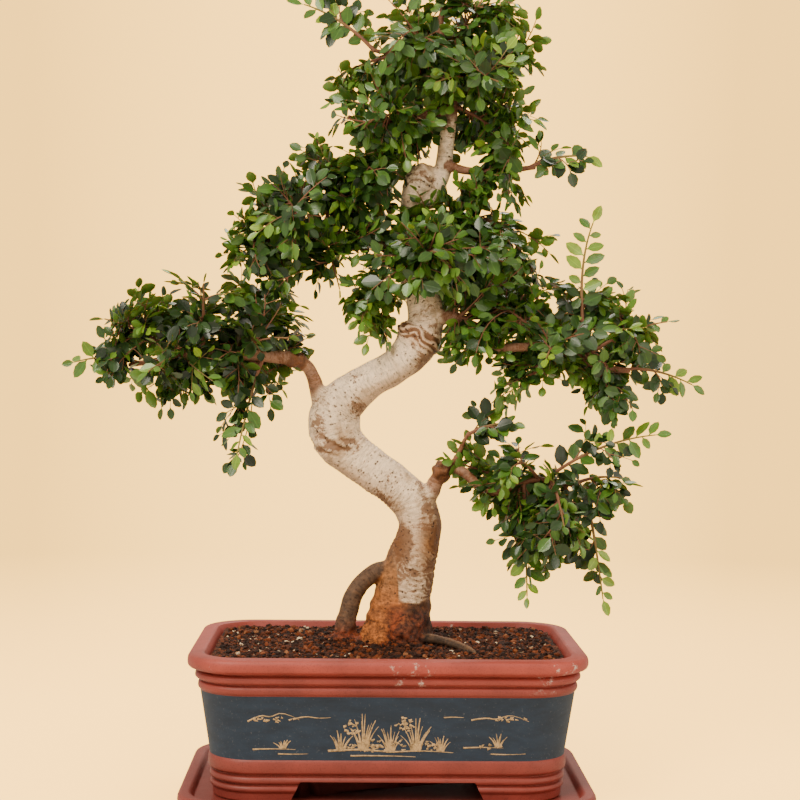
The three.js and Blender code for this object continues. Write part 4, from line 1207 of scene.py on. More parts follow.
    def crumb_tone(self, draw):
        """Most crumbs are dark, some warm or red, and very few pale."""
        luck = draw.random()
        low, high = next((low, high) for limit, low, high in CRUMB_TONES if luck < limit)
        return draw.uniform(low, high)


# The wood


def curve_point(points, share):
    """A place on the centripetal Catmull-Rom curve through a limb's points, with its radius."""
    count = len(points)
    place = min(max(share, 0), 1) * (count - 1)
    first = min(int(place), count - 2)
    weight = place - first
    known = np.array(points, dtype=float)[:, :3]
    p1, p2 = known[first], known[first + 1]
    p0 = known[first - 1] if first > 0 else 2 * known[0] - known[1]
    p3 = known[first + 2] if first + 2 < count else 2 * known[-1] - known[-2]
    d0, d1, d2 = (math.sqrt(np.linalg.norm(b - a)) for a, b in ((p0, p1), (p1, p2), (p2, p3)))
    t1 = ((p1 - p0) / d0 - (p2 - p0) / (d0 + d1) + (p2 - p1) / d1) * d1
    t2 = ((p2 - p1) / d1 - (p3 - p1) / (d1 + d2) + (p3 - p2) / d2) * d1
    c2 = -3 * p1 + 3 * p2 - 2 * t1 - t2
    c3 = 2 * p1 - 2 * p2 + t1 + t2
    at = p1 + t1 * weight + c2 * weight**2 + c3 * weight**3
    radius = points[first][3] * (1 - weight) + points[first + 1][3] * weight
    return at, radius


# How far apart the places along a limb are, in mm
LIMB_SPACING = 3


def limb_path(points):
    """Evenly spaced places along a limb in metres, with radii."""
    length = sum(math.dist(a[:3], b[:3]) for a, b in zip(points, points[1:]))
    steps = max(8, int(length / LIMB_SPACING))
    pairs = [curve_point(points, i / steps) for i in range(steps + 1)]
    places = np.array([at + [0, 0, SOIL_LEVEL] for at, _ in pairs]) * MM
    return places, np.array([radius for _, radius in pairs]) * MM


def runs_of(places):
    """How far along a path each of its places lies."""
    return np.concatenate([[0], np.cumsum(np.linalg.norm(np.diff(places, axis=0), axis=1))])


def limb_frames(places):
    """Along, side and across directions at each place, carried along without twist."""
    along = np.gradient(places, axis=0)
    along /= np.linalg.norm(along, axis=1)[:, None]
    side = np.array([1.0, 0, 0])
    if abs(along[0][0]) > 0.9:
        side = np.array([0, 1.0, 0])
    sides = []
    for direction in along:
        side = side - direction * side.dot(direction)
        side /= np.linalg.norm(side)
        sides.append(side)
    sides = np.array(sides)
    return along, sides, np.cross(sides, along)


def fade(value, start, end):
    """A smooth step from 0 at start to 1 at end."""
    share = np.clip((value - start) / (end - start), 0, 1)
    return share * share * (3 - 2 * share)


def bell(value, middle, width):
    """A smooth hump of 1 at the middle."""
    return np.exp(-(((value - middle) / width) ** 2))


class BONSAI_OT_wood(bpy.types.Operator):
    """Builds the trunk, roots and limbs as one grown piece, with its scars and flutes"""

    bl_idname = "bonsai.wood"
    bl_label = "Wood"

    def execute(self, context):
        settings = context.scene.bonsai_bark
        curve = new_curve("limbs", 1, 6)
        paths = {name: limb_path(points) for name, points in LIMBS.items()}
        for places, radii in paths.values():
            spline = curve.splines.new("POLY")
            spline.points.add(len(places) - 1)
            for point, place, radius in zip(spline.points, places, radii):
                point.co = (*place, 1)
                point.radius = radius
        wood = meshed(curve)
        self.add_knobs(wood)
        modify(wood, "REMESH", mode="VOXEL", voxel_size=settings.voxel)
        modify(wood, "SMOOTH", factor=0.5, iterations=5)
        at = self.measure(wood, paths)
        on = self.growths(at, paths["trunk"])
        self.carve(wood, at, on)
        self.stain(wood, at, on)
        pick(wood)
        bpy.ops.object.shade_smooth()
        close_piece(wood, "elm_wood", [elm_bark(settings)], "bark", "tree")
        return {"FINISHED"}

    def add_knobs(self, wood):
        """Joins the cut-back knobs and the lumps at the foot to the limbs."""
        clear_selection()
        for x, y, height, radius, flat in KNOBS + FOOT_LUMPS:
            place = Vector((x, y, height + SOIL_LEVEL)) * MM
            bpy.ops.mesh.primitive_uv_sphere_add(
                segments=24, ring_count=12, radius=radius * MM, location=place
            )
            knob = bpy.context.active_object
            knob.scale.z = flat
            knob.select_set(True)
            wood.select_set(True)
            bpy.context.view_layer.objects.active = wood
            bpy.ops.object.join()
            clear_selection()

    def measure(self, wood, paths):
        """Where each vertex lies: on its own limb, along the trunk, and over the soil."""
        rows = []
        for number, (places, radii) in enumerate(paths.values()):
            for row in zip(places, radii, *limb_frames(places), runs_of(places)):
                rows.append((number, *row))
        whole, main = KDTree(len(rows)), KDTree(len(rows))
        for i, (number, place, *_) in enumerate(rows):
            whole.insert(place, i)
            if number == list(paths).index("trunk"):
                main.insert(place, i)
        whole.balance()
        main.balance()
        vertices, _ = arrays_of(wood)
        nearest = np.zeros(len(vertices), int)
        for i, place in enumerate(vertices):
            near = whole.find_n(place, 4)
            nearest[i] = min(near, key=lambda hit: hit[2] - rows[hit[1]][2])[1]
        own = self.around(vertices, rows, nearest)
        stem = self.around(vertices, rows, np.array([main.find(place)[1] for place in vertices]))
        normals = np.empty(len(vertices) * 3)
        wood.data.vertex_normals.foreach_get("vector", normals)
        return SimpleNamespace(
            vertices=vertices, normals=normals.reshape(-1, 3), own=own, stem=stem,
            part={name: own["number"] == i for i, name in enumerate(paths)},
            past=stem["gap"] / stem["radius"], x=vertices[:, 0] / MM,
            height=vertices[:, 2] / MM - SOIL_LEVEL, bumpy=self.lumps(vertices, 0.006)
        )

    def growths(self, at, path):
        """How strongly each vertex shows each growth of the bark, mostly from 0 to 1."""
        angle, run, height, bumpy = at.stem["angle"], at.stem["run"], at.height, at.bumpy
        trunk = fade(at.past, 1.3, 1.1)
        bark_foot = self.bark_foot(at.x) + 1.6 * bumpy
        soft = 0.8 + 13 * fade(at.x, 12, 4) + 8 * fade(at.x, 27, 36)
        barked = fade(height, bark_foot - soft, bark_foot + soft)
        wobble = run + 1.5 * np.sin(2 * angle) + 0.8 * np.sin(5 * angle) + 1.1 * bumpy
        crease = np.sin((height + 0.5 * at.x) * 0.62 + 1.2 * bumpy)
        return SimpleNamespace(
            trunk=trunk, barked=barked, low=trunk * barked * fade(height, 104, 74),
            flare=fade(height, 62, -4), ring=trunk * bell(run, self.run_at(path, CALLUS_RING), 7),
            top=trunk * bell(run, self.run_at(path, CALLUS_TOP), 8),
            folds=np.sin(wobble * 1.15 + 1.6 * bumpy + 0.8 * np.sin(3 * angle)),
            pleats=np.sin(wobble * 1.2 + 3.4 * bumpy + np.sin(3 * angle + 1)),
            wrinkles=np.sin(wobble * 1.6 + 2 * np.sin(angle)),
            crease=crease * self.marks(at.x, height, BROWN_MARKS[:1]),
            knobby=self.near_balls(at.vertices, KNOBS, 1.5, 0.9),
            matted=self.near_balls(at.vertices, FOOT_LUMPS, 1.25, 0.8)
        )

    def carve(self, wood, at, on):
        """Gives the wood its flutes, scars, folds and ridges. The swelling is in mm."""
        angle, run, height = at.stem["angle"], at.stem["run"], at.height
        lower = bell(height, 172, 16) + bell(height, 122, 18)
        swell = on.trunk * on.flare * 1.2 * np.cos(5 * angle + 0.6)
        swell += on.trunk * 0.8 * np.sin(3 * angle + run / 34)
        swell += on.trunk * 0.5 * np.sin(2 * angle - run / 15 + 1)
        swell += on.ring * (0.8 + 1.7 * on.folds) + on.top * (0.8 + 0.5 * on.folds)
        swell += on.trunk * lower * 0.35 * on.wrinkles
        swell += on.trunk * on.crease * 6
        bare = on.trunk * (1 - on.barked) * fade(height, 90, 40)
        swell += bare * self.lumps(at.vertices, 0.0065) * 1.3
        swell += on.trunk * on.barked * fade(height, 86, 56) * 1.1 + on.low * 0.7 * on.pleats
        rough = 2.4 * on.knobby + 0.6 * on.flare + 0.4 * on.ring + 2 * on.matted
        swell += self.lumps(at.vertices, 0.0024) * (0.9 * on.matted + 0.3 * on.flare)
        swell += self.lumps(at.vertices, 0.004) * rough
        swell += self.lumps(at.vertices, 0.011) * (0.3 + 0.25 * on.trunk)
        thin = np.clip(at.own["radius"] / 8, 0.15, 1)
        carved = at.vertices + at.normals * (swell * thin * MM)[:, None]
        wood.data.vertices.foreach_set("co", carved.ravel())
        wood.data.update()

    def stain(self, wood, at, on):
        """Marks the bark for its finish: its grain, its colour with some painted shade and light, its age,
        pores and crumbly places.
        """
        x, height, past, part = at.x, at.height, at.past, at.part
        on_stem = past < 1.25
        lie = {key: np.where(on_stem, at.stem[key], own) for key, own in at.own.items()}
        round_x, round_y = (lie["radius"] * f(lie["angle"]) for f in (np.cos, np.sin))
        grain = np.stack([round_x + lie["number"] * 370, round_y, lie["run"]], axis=1) * MM
        point_attribute(wood, "grain", grain, "FLOAT_VECTOR")
        roots = part["surfaceRoot"] | part["backRoot"] | part["leftRoot"] | part["rightRoot"]
        limbs = ~(part["trunk"] | part["leader"] | part["archRoot"] | roots)
        foot = on.trunk * (1 - on.barked) * fade(height, 130, 120)
        arch = part["archRoot"] * fade(past, 1.02, 1.18)
        belt = bell(height, 92, 24) * (0.8 - 0.45 * bell(x, 20, 9))
        bark_tints = [
            ("low_bark_and_painted_shading", on.trunk * on.barked * (0.13 + 0.24 * fade(height, 122, 58) + belt)),
            # Painted shade: the trunk's downward faces are painted browner
            ("low_bark_and_painted_shading", on.trunk * fade(at.normals[:, 2], -0.15, -0.9) * 0.5),
            ("limb", limbs * fade(past, 1.0, 1.35) * 0.9),
            ("limb", part["leader"] * fade(height, 440, 458)),
            ("twig", limbs * fade(at.own["radius"], 5.2, 2.6)), ("knob", on.knobby * 0.85),
            ("low_bark_and_painted_shading", on.low * fade(x, 15, 4) * 0.7), ("foot", on.ring * (0.5 - 0.2 * on.folds)),
            ("foot", foot), ("low_bark_and_painted_shading", foot * fade(height, 30, 62) * 0.75),
            ("root", foot * fade(height, 60, 95)),
            ("lump", foot * fade(x, -6, 6) * fade(height, 44, 30) * 0.8),
            # Painted shadow at the foot right of the bark's tongue; further on the roots' own dark skin
            ("shadow", foot * fade(x, 9, 18) * 0.75), ("root", arch),
            ("shadow", roots * fade(past, 1.0, 1.15)),
            # Painted light: the surface root's upward faces are painted lighter, in the low bark's colour
            ("low_bark_and_painted_shading", part["surfaceRoot"] * fade(at.normals[:, 2], 0.6, 0.98) * 0.45),
            ("lump", np.maximum(on.matted * 0.9, arch * fade(height, 30, 10) * 0.6))
        ]
        point_attribute(wood, "tint", self.tint(bark_tints, len(x)), "FLOAT_VECTOR")
        seams = on.ring * (0.2 - 0.24 * on.folds) + on.top * (0.12 - 0.1 * on.folds)
        age = on.trunk * self.marks(x, height, BROWN_MARKS) + seams + 0.1 * limbs + 0.12 * on.knobby
        age += on.low * (0.04 - 0.08 * on.pleats)
        age += 0.14 * part["leader"] * fade(height, 425, 445) - 0.5 * on.trunk * on.crease
        point_attribute(wood, "age", age * (1 - 0.6 * foot))
        point_attribute(wood, "dots", on.trunk * self.marks(x, height, PORE_MARKS) - 0.3 * limbs)
        crumb = 0.12 + foot * (0.4 + 0.35 * fade(height, 44, 14)) + 0.3 * roots + 0.25 * arch
        crumb = [crumb, on.matted, 0.7 * arch * fade(height, 40, 15), 0.5 * on.knobby]
        point_attribute(wood, "crumb", np.maximum.reduce(crumb))

    def around(self, vertices, rows, nearest):
        """Where each vertex lies on its limb: lengths in mm, and the angle round it."""
        table = [np.array([row[k] for row in rows])[nearest] for k in range(7)]
        number, centre, radius, along, side, across, run = table
        offset = vertices - centre
        return {
            "number": number, "radius": radius / MM, "gap": np.linalg.norm(offset, axis=1) / MM,
            "angle": np.arctan2((offset * across).sum(1), (offset * side).sum(1)),
            "run": (run + (offset * along).sum(1)) / MM
        }

    def bark_foot(self, x):
        """How low the smooth bark reaches: a rounded tongue in front, high at its left."""
        tongue = 39.5 + 5 * np.clip(np.abs(x - 22) / 13, 0, 1.2) ** 3
        return tongue + 26 * fade(x, 9.5, 7) + 30 * fade(x, 7, -4)

    def tint(self, bark_tints, count):
        """The bark's base colour for each vertex: the pale bark, and each tint over it, painted shade and
        light among them.
        """
        settings = bpy.context.scene.bonsai_bark
        colour = np.tile(np.array(settings.pale), (count, 1))
        for name, weight in bark_tints:
            share = np.clip(weight, 0, 1)[:, None]
            colour = colour * (1 - share) + np.array(getattr(settings, name)) * share
        return colour

    def near_balls(self, vertices, balls, outer, inner):
        """How near each vertex is to the nearest of some balls, from 0 to 1."""
        near = np.zeros(len(vertices))
        for x, y, height, size, _ in balls:
            gap = np.linalg.norm(vertices / MM - [x, y, height + SOIL_LEVEL], axis=1)
            near = np.maximum(near, fade(gap, size * outer, size * inner))
        return near

    def marks(self, x, height, places):
        """The strength of a list of marks at each vertex."""
        total = np.zeros(len(x))
        for middle, level, wide, tall, strength in places:
            gap = ((x - middle) / wide) ** 2 + ((height - level) / tall) ** 2
            total = np.maximum(total, strength * np.exp(-(gap**1.5)))
        return total

    def run_at(self, path, height):
        """How far along a limb it first reaches a height over the soil, in mm."""
        places, _ = path
        runs = runs_of(places)
        above = np.argmax(places[:, 2] / MM - SOIL_LEVEL >= height)
        return runs[above] / MM

    def lumps(self, vertices, size):
        """Smooth lumps from -1 to 1, as a sum of slanted waves of different lengths."""
        draw = random.Random(SEED)
        total = np.zeros(len(vertices))
        for _ in range(9):
            way = np.array([draw.gauss(0, 1) for _ in range(3)])
            way /= np.linalg.norm(way)
            pace = draw.uniform(0.6, 1.9) * 2 / size
            total += np.sin(vertices @ way * pace + draw.uniform(0, 6.28))
        return np.clip(total / 3, -1, 1)


# The foliage


def mulberry(seed):
    """The same seeded draws as the tree's own sprays were placed by."""
    state = seed

    def draw():
        nonlocal state
        state = (state + 0x6D2B79F5) & 0xFFFFFFFF
        mixed = ((state ^ (state >> 15)) * (1 | state)) & 0xFFFFFFFF
        mixed ^= (mixed + (((mixed ^ (mixed >> 7)) * (61 | mixed)) & 0xFFFFFFFF)) & 0xFFFFFFFF
        return (mixed ^ (mixed >> 14)) / 4294967296

    return draw


def nearest_place(names, target):
    """The place on the named limbs nearest to a target, past each limb's thick start."""
    shares = [0.2 + 0.02 * i for i in range(40) if 0.2 + 0.02 * i < 0.99]
    places = [curve_point(LIMBS[name], share)[0] for name in names for share in shares]
    return min(places, key=lambda at: np.linalg.norm(at - target))


def spray_stems():
    """Each spray's name, start, tip and pad, in mm over the soil. A shoot has no pad."""
    draw = mulberry(SEED)
    stems = []
    turn = math.pi * (3 - math.sqrt(5))
    for name, limbs, centre, reach, count in PADS:
        middle = np.array(centre, float)
        first = 2 * math.pi * draw()
        for i in range(count):
            height = 1 - (2 * i + 1) / count
            flat = math.sqrt(1 - height * height)
            angle = first + i * turn
            outward = np.array([flat * math.cos(angle), flat * math.sin(angle), height]) * reach
            tip = middle + outward * (PAD_OUT - PAD_DEEP * draw())
            start = nearest_place(limbs, middle + outward * PAD_ROOT)
            stems.append((f"spray_{name}_{i + 1}", start, tip, (middle, np.array(reach, float))))
    for name, limb, share, tip in SHOOTS:
        start = curve_point(LIMBS[limb], share)[0]
        stems.append((f"spray_{name}", start, np.array(tip, float), None))
    return stems


def unit(vector):
    """A direction of length 1."""
    return vector / max(np.linalg.norm(vector), 1e-9)


def bezier(start, bend, tip, count):
    """Places along a quadratic curve, with the directions there."""
    shares = np.linspace(0, 1, count)[:, None]
    places = (1 - shares) ** 2 * start + 2 * shares * (1 - shares) * bend + shares**2 * tip
    ways = 2 * (1 - shares) * (bend - start) + 2 * shares * (tip - bend)
    return places, ways / np.linalg.norm(ways, axis=1)[:, None]


def stem_path(stem):
    """Places in metres along a spray's stem, with the directions there."""
    name, start, tip, _ = stem
    lift = np.array([0, 0, SOIL_LEVEL])
    start, tip = (start + lift) * MM, (tip + lift) * MM
    reach = np.linalg.norm(tip - start)
    aside = unit(np.cross(tip - start, UP))
    bend = start + (tip - start) * STEM_BEND + UP * STEM_LIFT * reach
    return bezier(start, bend + aside * SWAYS.get(name, 0) * reach, tip, STEM_PLACES)


def jitter(draw, amount):
    """A small random offset."""
    return np.array([draw.gauss(0, amount) for _ in range(3)])


# Radii of the stems, side twigs and sprigs at both ends, in mm
STEM_RADII = (1.8, 0.55)
TWIG_RADII = (0.72, 0.34)
SPRIG_RADII = (0.38, 0.28)

# Lengths in metres: how much of a side twig carries leaves, and the range of the short ones
LEAFY_END = 0.036
SPRIG_LENGTHS = (0.01, 0.021)
SHOOT_TWIG_LENGTHS = (0.012, 0.018)


class Spray:
    """Gathers the twigs and leaves of one spray as arrays, and grows them on its stem."""

    def __init__(self, blade, settings, draw):
        self.blade, self.blade_faces, self.blade_map, self.blade_sides = blade
        self.settings, self.draw = settings, draw
        self.places, self.faces, self.map, self.sides = [], [], [], []
        self.values = {"tone": [], "wood": []}
        self.count = 0

    def extend(self, places, faces, blade_map, sides, tone, wood):
        """Takes in one twig or leaf."""
        self.places.append(places)
        self.faces.extend(tuple(corner + self.count for corner in face) for face in faces)
        self.map.append(blade_map)
        self.sides.extend(sides)
        self.values["tone"].append(np.broadcast_to(tone, len(places)))
        self.values["wood"].append(np.broadcast_to(wood, len(places)))
        self.count += len(places)

    def twig(self, places, radii, tones, sides):
        """A tapered round twig with closed ends."""
        _, side, across = limb_frames(places)
        angles = np.linspace(0, 2 * math.pi, sides, endpoint=False)
        spokes = [np.outer(np.cos(angles), s) + np.outer(np.sin(angles), a) for s, a in zip(side, across)]
        grid = np.concatenate([at + radius * ring for at, radius, ring in zip(places, radii, spokes)])
        last = (len(places) - 1) * sides
        faces = [
            (i + j, i + sides + j, i + sides + (j + 1) % sides, i + (j + 1) % sides)
            for i in range(0, last, sides) for j in range(sides)
        ]
        faces.append(tuple(range(sides)))
        faces.append(tuple(last + j for j in reversed(range(sides))))
        off_blade = np.full((len(grid), 2), 0.25)
        self.extend(grid, faces, off_blade, [0] * len(faces), np.repeat(tones, sides), 1)

    def leaf(self, at, out, face, length, breadth, curl, tone):
        """A copy of the leaf blade, set at its foot, pointing out and facing face."""
        out = unit(out)
        face = unit(face - out * face.dot(out))
        side = np.cross(out, face)
        local = self.blade * [breadth, length, 1]
        local[:, 2] -= curl * length * self.blade[:, 1] ** 2
        places = at + local[:, :1] * side + local[:, 1:2] * out + local[:, 2:] * face
        self.extend(places, self.blade_faces, self.blade_map, self.blade_sides, tone, 0)

    def grow(self, stem, targets):
        """Grows the stem, its side twigs, and the leaves at its end."""
        draw = self.draw
        name, _, _, pad = stem
        places, ways = stem_path(stem)
        taper = np.linspace(*STEM_RADII, len(places)) * MM
        self.twig(places, taper, np.linspace(0.1, 0.5 if pad else 0.9, len(places)), sides=6)
        shade = PAD_TONES.get(name[6:].rsplit("_", 1)[0], 0)
        for place, target, normal in targets:
            facing = UP * 0.45 + normal * 0.9 + jitter(draw, 0.32)
            self.side_twig(places, ways, place, target, facing, shade)
        facing = np.array([0, -1.0, 0.35])
        if pad:
            facing = unit(places[-1] - (pad[0] + [0, 0, SOIL_LEVEL]) * MM) + UP * 0.5
        else:
            for i in range(2):
                place = 3 + int(0.25 * (i + draw.random()) * len(places))
                aside = unit(np.cross(ways[place], facing)) * (1 if i % 2 else -1)
                heading = unit(ways[place] * 0.6 + aside + jitter(draw, 0.25))
                target = places[place] + heading * draw.uniform(*SHOOT_TWIG_LENGTHS)
                self.side_twig(places, ways, place, target, facing, 0)
        first = 0.4 if pad else 0.12
        size = 0.95 if pad else 1.1
        fresh = not pad or draw.random() < 0.3
        self.leaves_along(places, ways, first, facing, size, shade, fresh)

    def side_twig(self, stem, ways, place, target, facing, shade):
        """A twig from the stem to its own target, with leaves and two or three offshoots."""
        draw = self.draw
        gap = np.linalg.norm(target - stem[place])
        step = np.linalg.norm(stem[1] - stem[0])
        start = max(1, place - int(0.35 * gap / step))
        at, along = stem[start], ways[start]
        reach = np.linalg.norm(target - at)
        bend = at + (target - at) * 0.45 + along * reach * 0.2 + UP * reach * draw.uniform(0, 0.14)
        places, ways = bezier(at, bend, target, max(5, int(reach / 0.007)))
        fresh = draw.random() < 0.2
        tone = 0.7 if fresh else draw.uniform(0, 0.4)
        count = len(places)
        self.twig(places, np.linspace(*TWIG_RADII, count) * MM, np.linspace(0.1, tone, count), sides=4)
        leafy = min(0.8, LEAFY_END / reach)
        self.leaves_along(places, ways, 1 - leafy, facing, 1.0, shade, fresh)
        side = unit(np.cross(facing, ways[-1]))
        for i in range(draw.choice((2, 2, 3))):
            share = 1 - leafy * draw.uniform(0.3, 0.95)
            k = min(int(share * count), count - 2)
            turn = 1 if i % 2 else -1
            heading = unit(ways[k] * 0.75 + side * turn * 0.8 + jitter(draw, 0.3))
            tip = places[k] + heading * draw.uniform(*SPRIG_LENGTHS)
            sprig, sprig_ways = bezier(places[k], (places[k] + tip) / 2 + UP * 0.001, tip, 4)
            self.twig(sprig, np.linspace(*SPRIG_RADII, 4) * MM, np.full(4, tone), sides=3)
            tilted = facing + jitter(draw, 0.35)
            self.leaves_along(sprig, sprig_ways, 0.25, tilted, 0.92, shade, fresh)

    def leaves_along(self, places, ways, first, facing, size, shade, fresh):
        """Alternate leaves along a twig from a share of its length on, and one at its tip."""
        settings, draw = self.settings, self.draw
        runs = runs_of(places)
        count = max(2, int(runs[-1] * (1 - first) / settings.spacing))
        for i in range(count + 1):
            share = first + (1 - first) * i / count
            target = share * runs[-1]
            k = max(1, min(int(np.searchsorted(runs, target)), len(runs) - 1))
            back = (runs[k] - target) / max(runs[k] - runs[k - 1], 1e-9)
            at, along = places[k] * (1 - back) + places[k - 1] * back, ways[k]
            turn = 0 if i == count else (1 if i % 2 else -1)
            looks = unit(facing + jitter(draw, 0.3))
            side = unit(np.cross(looks, along))
            out = along * (0.6 if turn else 1) + side * 0.9 * turn + jitter(draw, 0.16) - UP * 0.1
            grown = size * draw.uniform(0.7, 1.1) * (1 - 0.2 * (share > 0.85))
            tone = draw.uniform(0.02, 0.54) + shade
            narrow = draw.uniform(0.86, 1.12)
            if fresh and share > 0.5:
                tone = draw.uniform(0.5, 0.95)
                narrow *= 0.82
            curl = draw.uniform(0.0, 0.2)
            breadth = settings.breadth * grown * narrow
            self.leaf(at, out, looks, settings.length * grown, breadth, curl, tone)

    def piece(self, name):
        """The spray's mesh, with its values and the blades' map."""
        piece = mesh_piece(name, np.concatenate(self.places), self.faces)
        for value, parts in self.values.items():
            point_attribute(piece, value, np.concatenate(parts))
        layer = piece.data.uv_layers.new(name="blade")
        corners = np.empty(len(piece.data.loops), int)
        piece.data.loops.foreach_get("vertex_index", corners)
        corner_map = np.concatenate(self.map)[corners]
        corner_map[:, 0] += 2 * np.repeat(self.sides, [len(face) for face in self.faces])
        layer.data.foreach_set("uv", corner_map.ravel())
        pick(piece)
        bpy.ops.object.shade_smooth_by_angle(angle=math.radians(50))
        return piece


# The leaf blade from its stalk to its tip: the share of its length, and its half width
BLADE_ROWS = [(0, 0.08), (0.12, 0.16), (0.32, 0.84), (0.58, 1.0), (0.86, 0.6), (1, 0)]


def model_blade(settings):
    """Models one closed leaf blade, 1 wide and 1 long, folded at its rib and thin as a leaf."""
    rows = len(BLADE_ROWS) - 1
    clear_selection()
    bpy.ops.mesh.primitive_grid_add(x_subdivisions=2, y_subdivisions=rows, size=1)
    piece = bpy.context.active_object
    for i, (share, half) in reversed(list(enumerate(BLADE_ROWS))):
        level = i / rows - 0.5
        edit(piece, kind="VERT")
        bpy.ops.object.mode_set(mode="OBJECT")
        for vertex in piece.data.vertices:
            vertex.select = abs(vertex.co.y - level) < 0.01
        bpy.ops.object.mode_set(mode="EDIT")
        bpy.ops.transform.resize(value=(half, 1, 1), center_override=(0, level, 0))
        bpy.ops.transform.translate(value=(0, share + 1 - level, 0))
    bpy.ops.mesh.select_all(action="SELECT")
    bpy.ops.mesh.remove_doubles(threshold=0.001)
    bpy.ops.object.mode_set(mode="OBJECT")
    places, faces = arrays_of(piece)
    bpy.data.objects.remove(piece)
    places[:, 1] -= 1
    fold, sag = 0.0012, 0.0006
    places[:, 2] = fold * np.abs(places[:, 0] * 2) ** 1.4 - sag * np.sin(math.pi * places[:, 1])
    first = np.array([places[corner] for corner in faces[0][:3]])
    if np.cross(first[1] - first[0], first[2] - first[1])[2] < 0:
        faces = [tuple(reversed(face)) for face in faces]
    edges = {(a, b) for face in faces for a, b in zip(face, face[1:] + face[:1])}
    rim = {a for a, b in edges if (b, a) not in edges}
    inner = [i for i in range(len(places)) if i not in rim]
    below = {old: len(places) + i for i, old in enumerate(inner)}
    lower = places[inner] - [0, 0, settings.thickness]
    under = [tuple(below.get(corner, corner) for corner in reversed(face)) for face in faces]
    shell = np.concatenate([places, lower])
    return shell, faces + under, shell[:, :2] + [0.5, 0], [0] * len(faces) + [1] * len(under)


class BONSAI_OT_foliage(bpy.types.Operator):
    """Grows every leafy spray from its limb: a stem, side twigs and alternate leaves"""

    bl_idname = "bonsai.foliage"
    bl_label = "Foliage"

    def execute(self, context):
        settings = context.scene.bonsai_leaf
        material = elm_leaf(settings, tuple(context.scene.bonsai_bark.twig))
        blade = model_blade(settings)
        stems = spray_stems()
        targets = self.share_out(stems, settings)
        for index, stem in enumerate(stems):
            spray = Spray(blade, settings, random.Random(SEED + index))
            spray.grow(stem, targets[stem[0]])
            piece = spray.piece(stem[0])
            close_piece(piece, stem[0].replace("spray_", "leafy_"), [material], "leaves", stem[0])
        return {"FINISHED"}

    def share_out(self, stems, settings):
        """Places for twig tips all over the pads' lobes, each given to the nearest stem."""
        draw = random.Random(SEED)
        targets = {stem[0]: [] for stem in stems}
        for pad in LOBES:
            own = [stem for stem in stems if stem[3] and stem[0].rsplit("_", 1)[0] == "spray_" + pad]
            paths = [stem_path(stem)[0] for stem in own]
            grid = np.array(paths)
            lobes = LOBES[pad]
            shares = [max(4, round(lobe[3] * lobe[5] * settings.twigs / 100)) for lobe in lobes]
            for lobe in [lobe for lobe, share in zip(lobes, shares) for _ in range(share)]:
                outward = unit(jitter(draw, 1))
                depth = 0.97 * draw.random() ** 0.42 if draw.random() < 0.86 else draw.uniform(1.05, 1.3)
                half = np.array(lobe[3:]) * MM
                middle = (np.array(lobe[:3]) + [0, 0, SOIL_LEVEL]) * MM
                target = middle + outward * half * depth
                gaps = np.linalg.norm(grid - target, axis=2)
                gaps[:, :3] += 1
                spray, place = np.unravel_index(np.argmin(gaps), gaps.shape)
                normal = unit(outward / half)
                targets[own[spray][0]].append((int(place), target, normal))
        return targets


# The studio

# Where the camera stands and how it is turned, in metres and as directions
CAMERA_PLACE = (-0.0255, -1.445, 0.358)
CAMERA_RIGHT = (0.99967, -0.02362, 0.01017)
CAMERA_UP = (-0.00975, 0.01788, 0.99979)

# Each light: its place, what it faces, its size in metres, its power in watts and its colour
LIGHTS = [
    ("key light", (-1.3, -1.7, 2.1), (0, 0, 0.35), 1.5, 88, "#FFF4E2"),
    ("fill light", (1.9, -1.3, 1.0), (0, 0, 0.3), 1.8, 20, "#FFEFD8"),
    ("back light", (0.5, 1.5, 2.2), (0, 0, 0.4), 1.2, 30, "#FFF8EC")
]


# The backdrop's glow as the camera sees it: its strength in the middle and at the least, how
# fast it falls off to the sides, how far to the right its middle lies, and the floor's glow
GLOW = 4.3
LEAST_GLOW = 3.1
GLOW_FALL = -30
GLOW_ASIDE = 0.014
FLOOR_GLOW = 3.5

# The strength of the soft light from all round
SOFT_LIGHT = 0.8


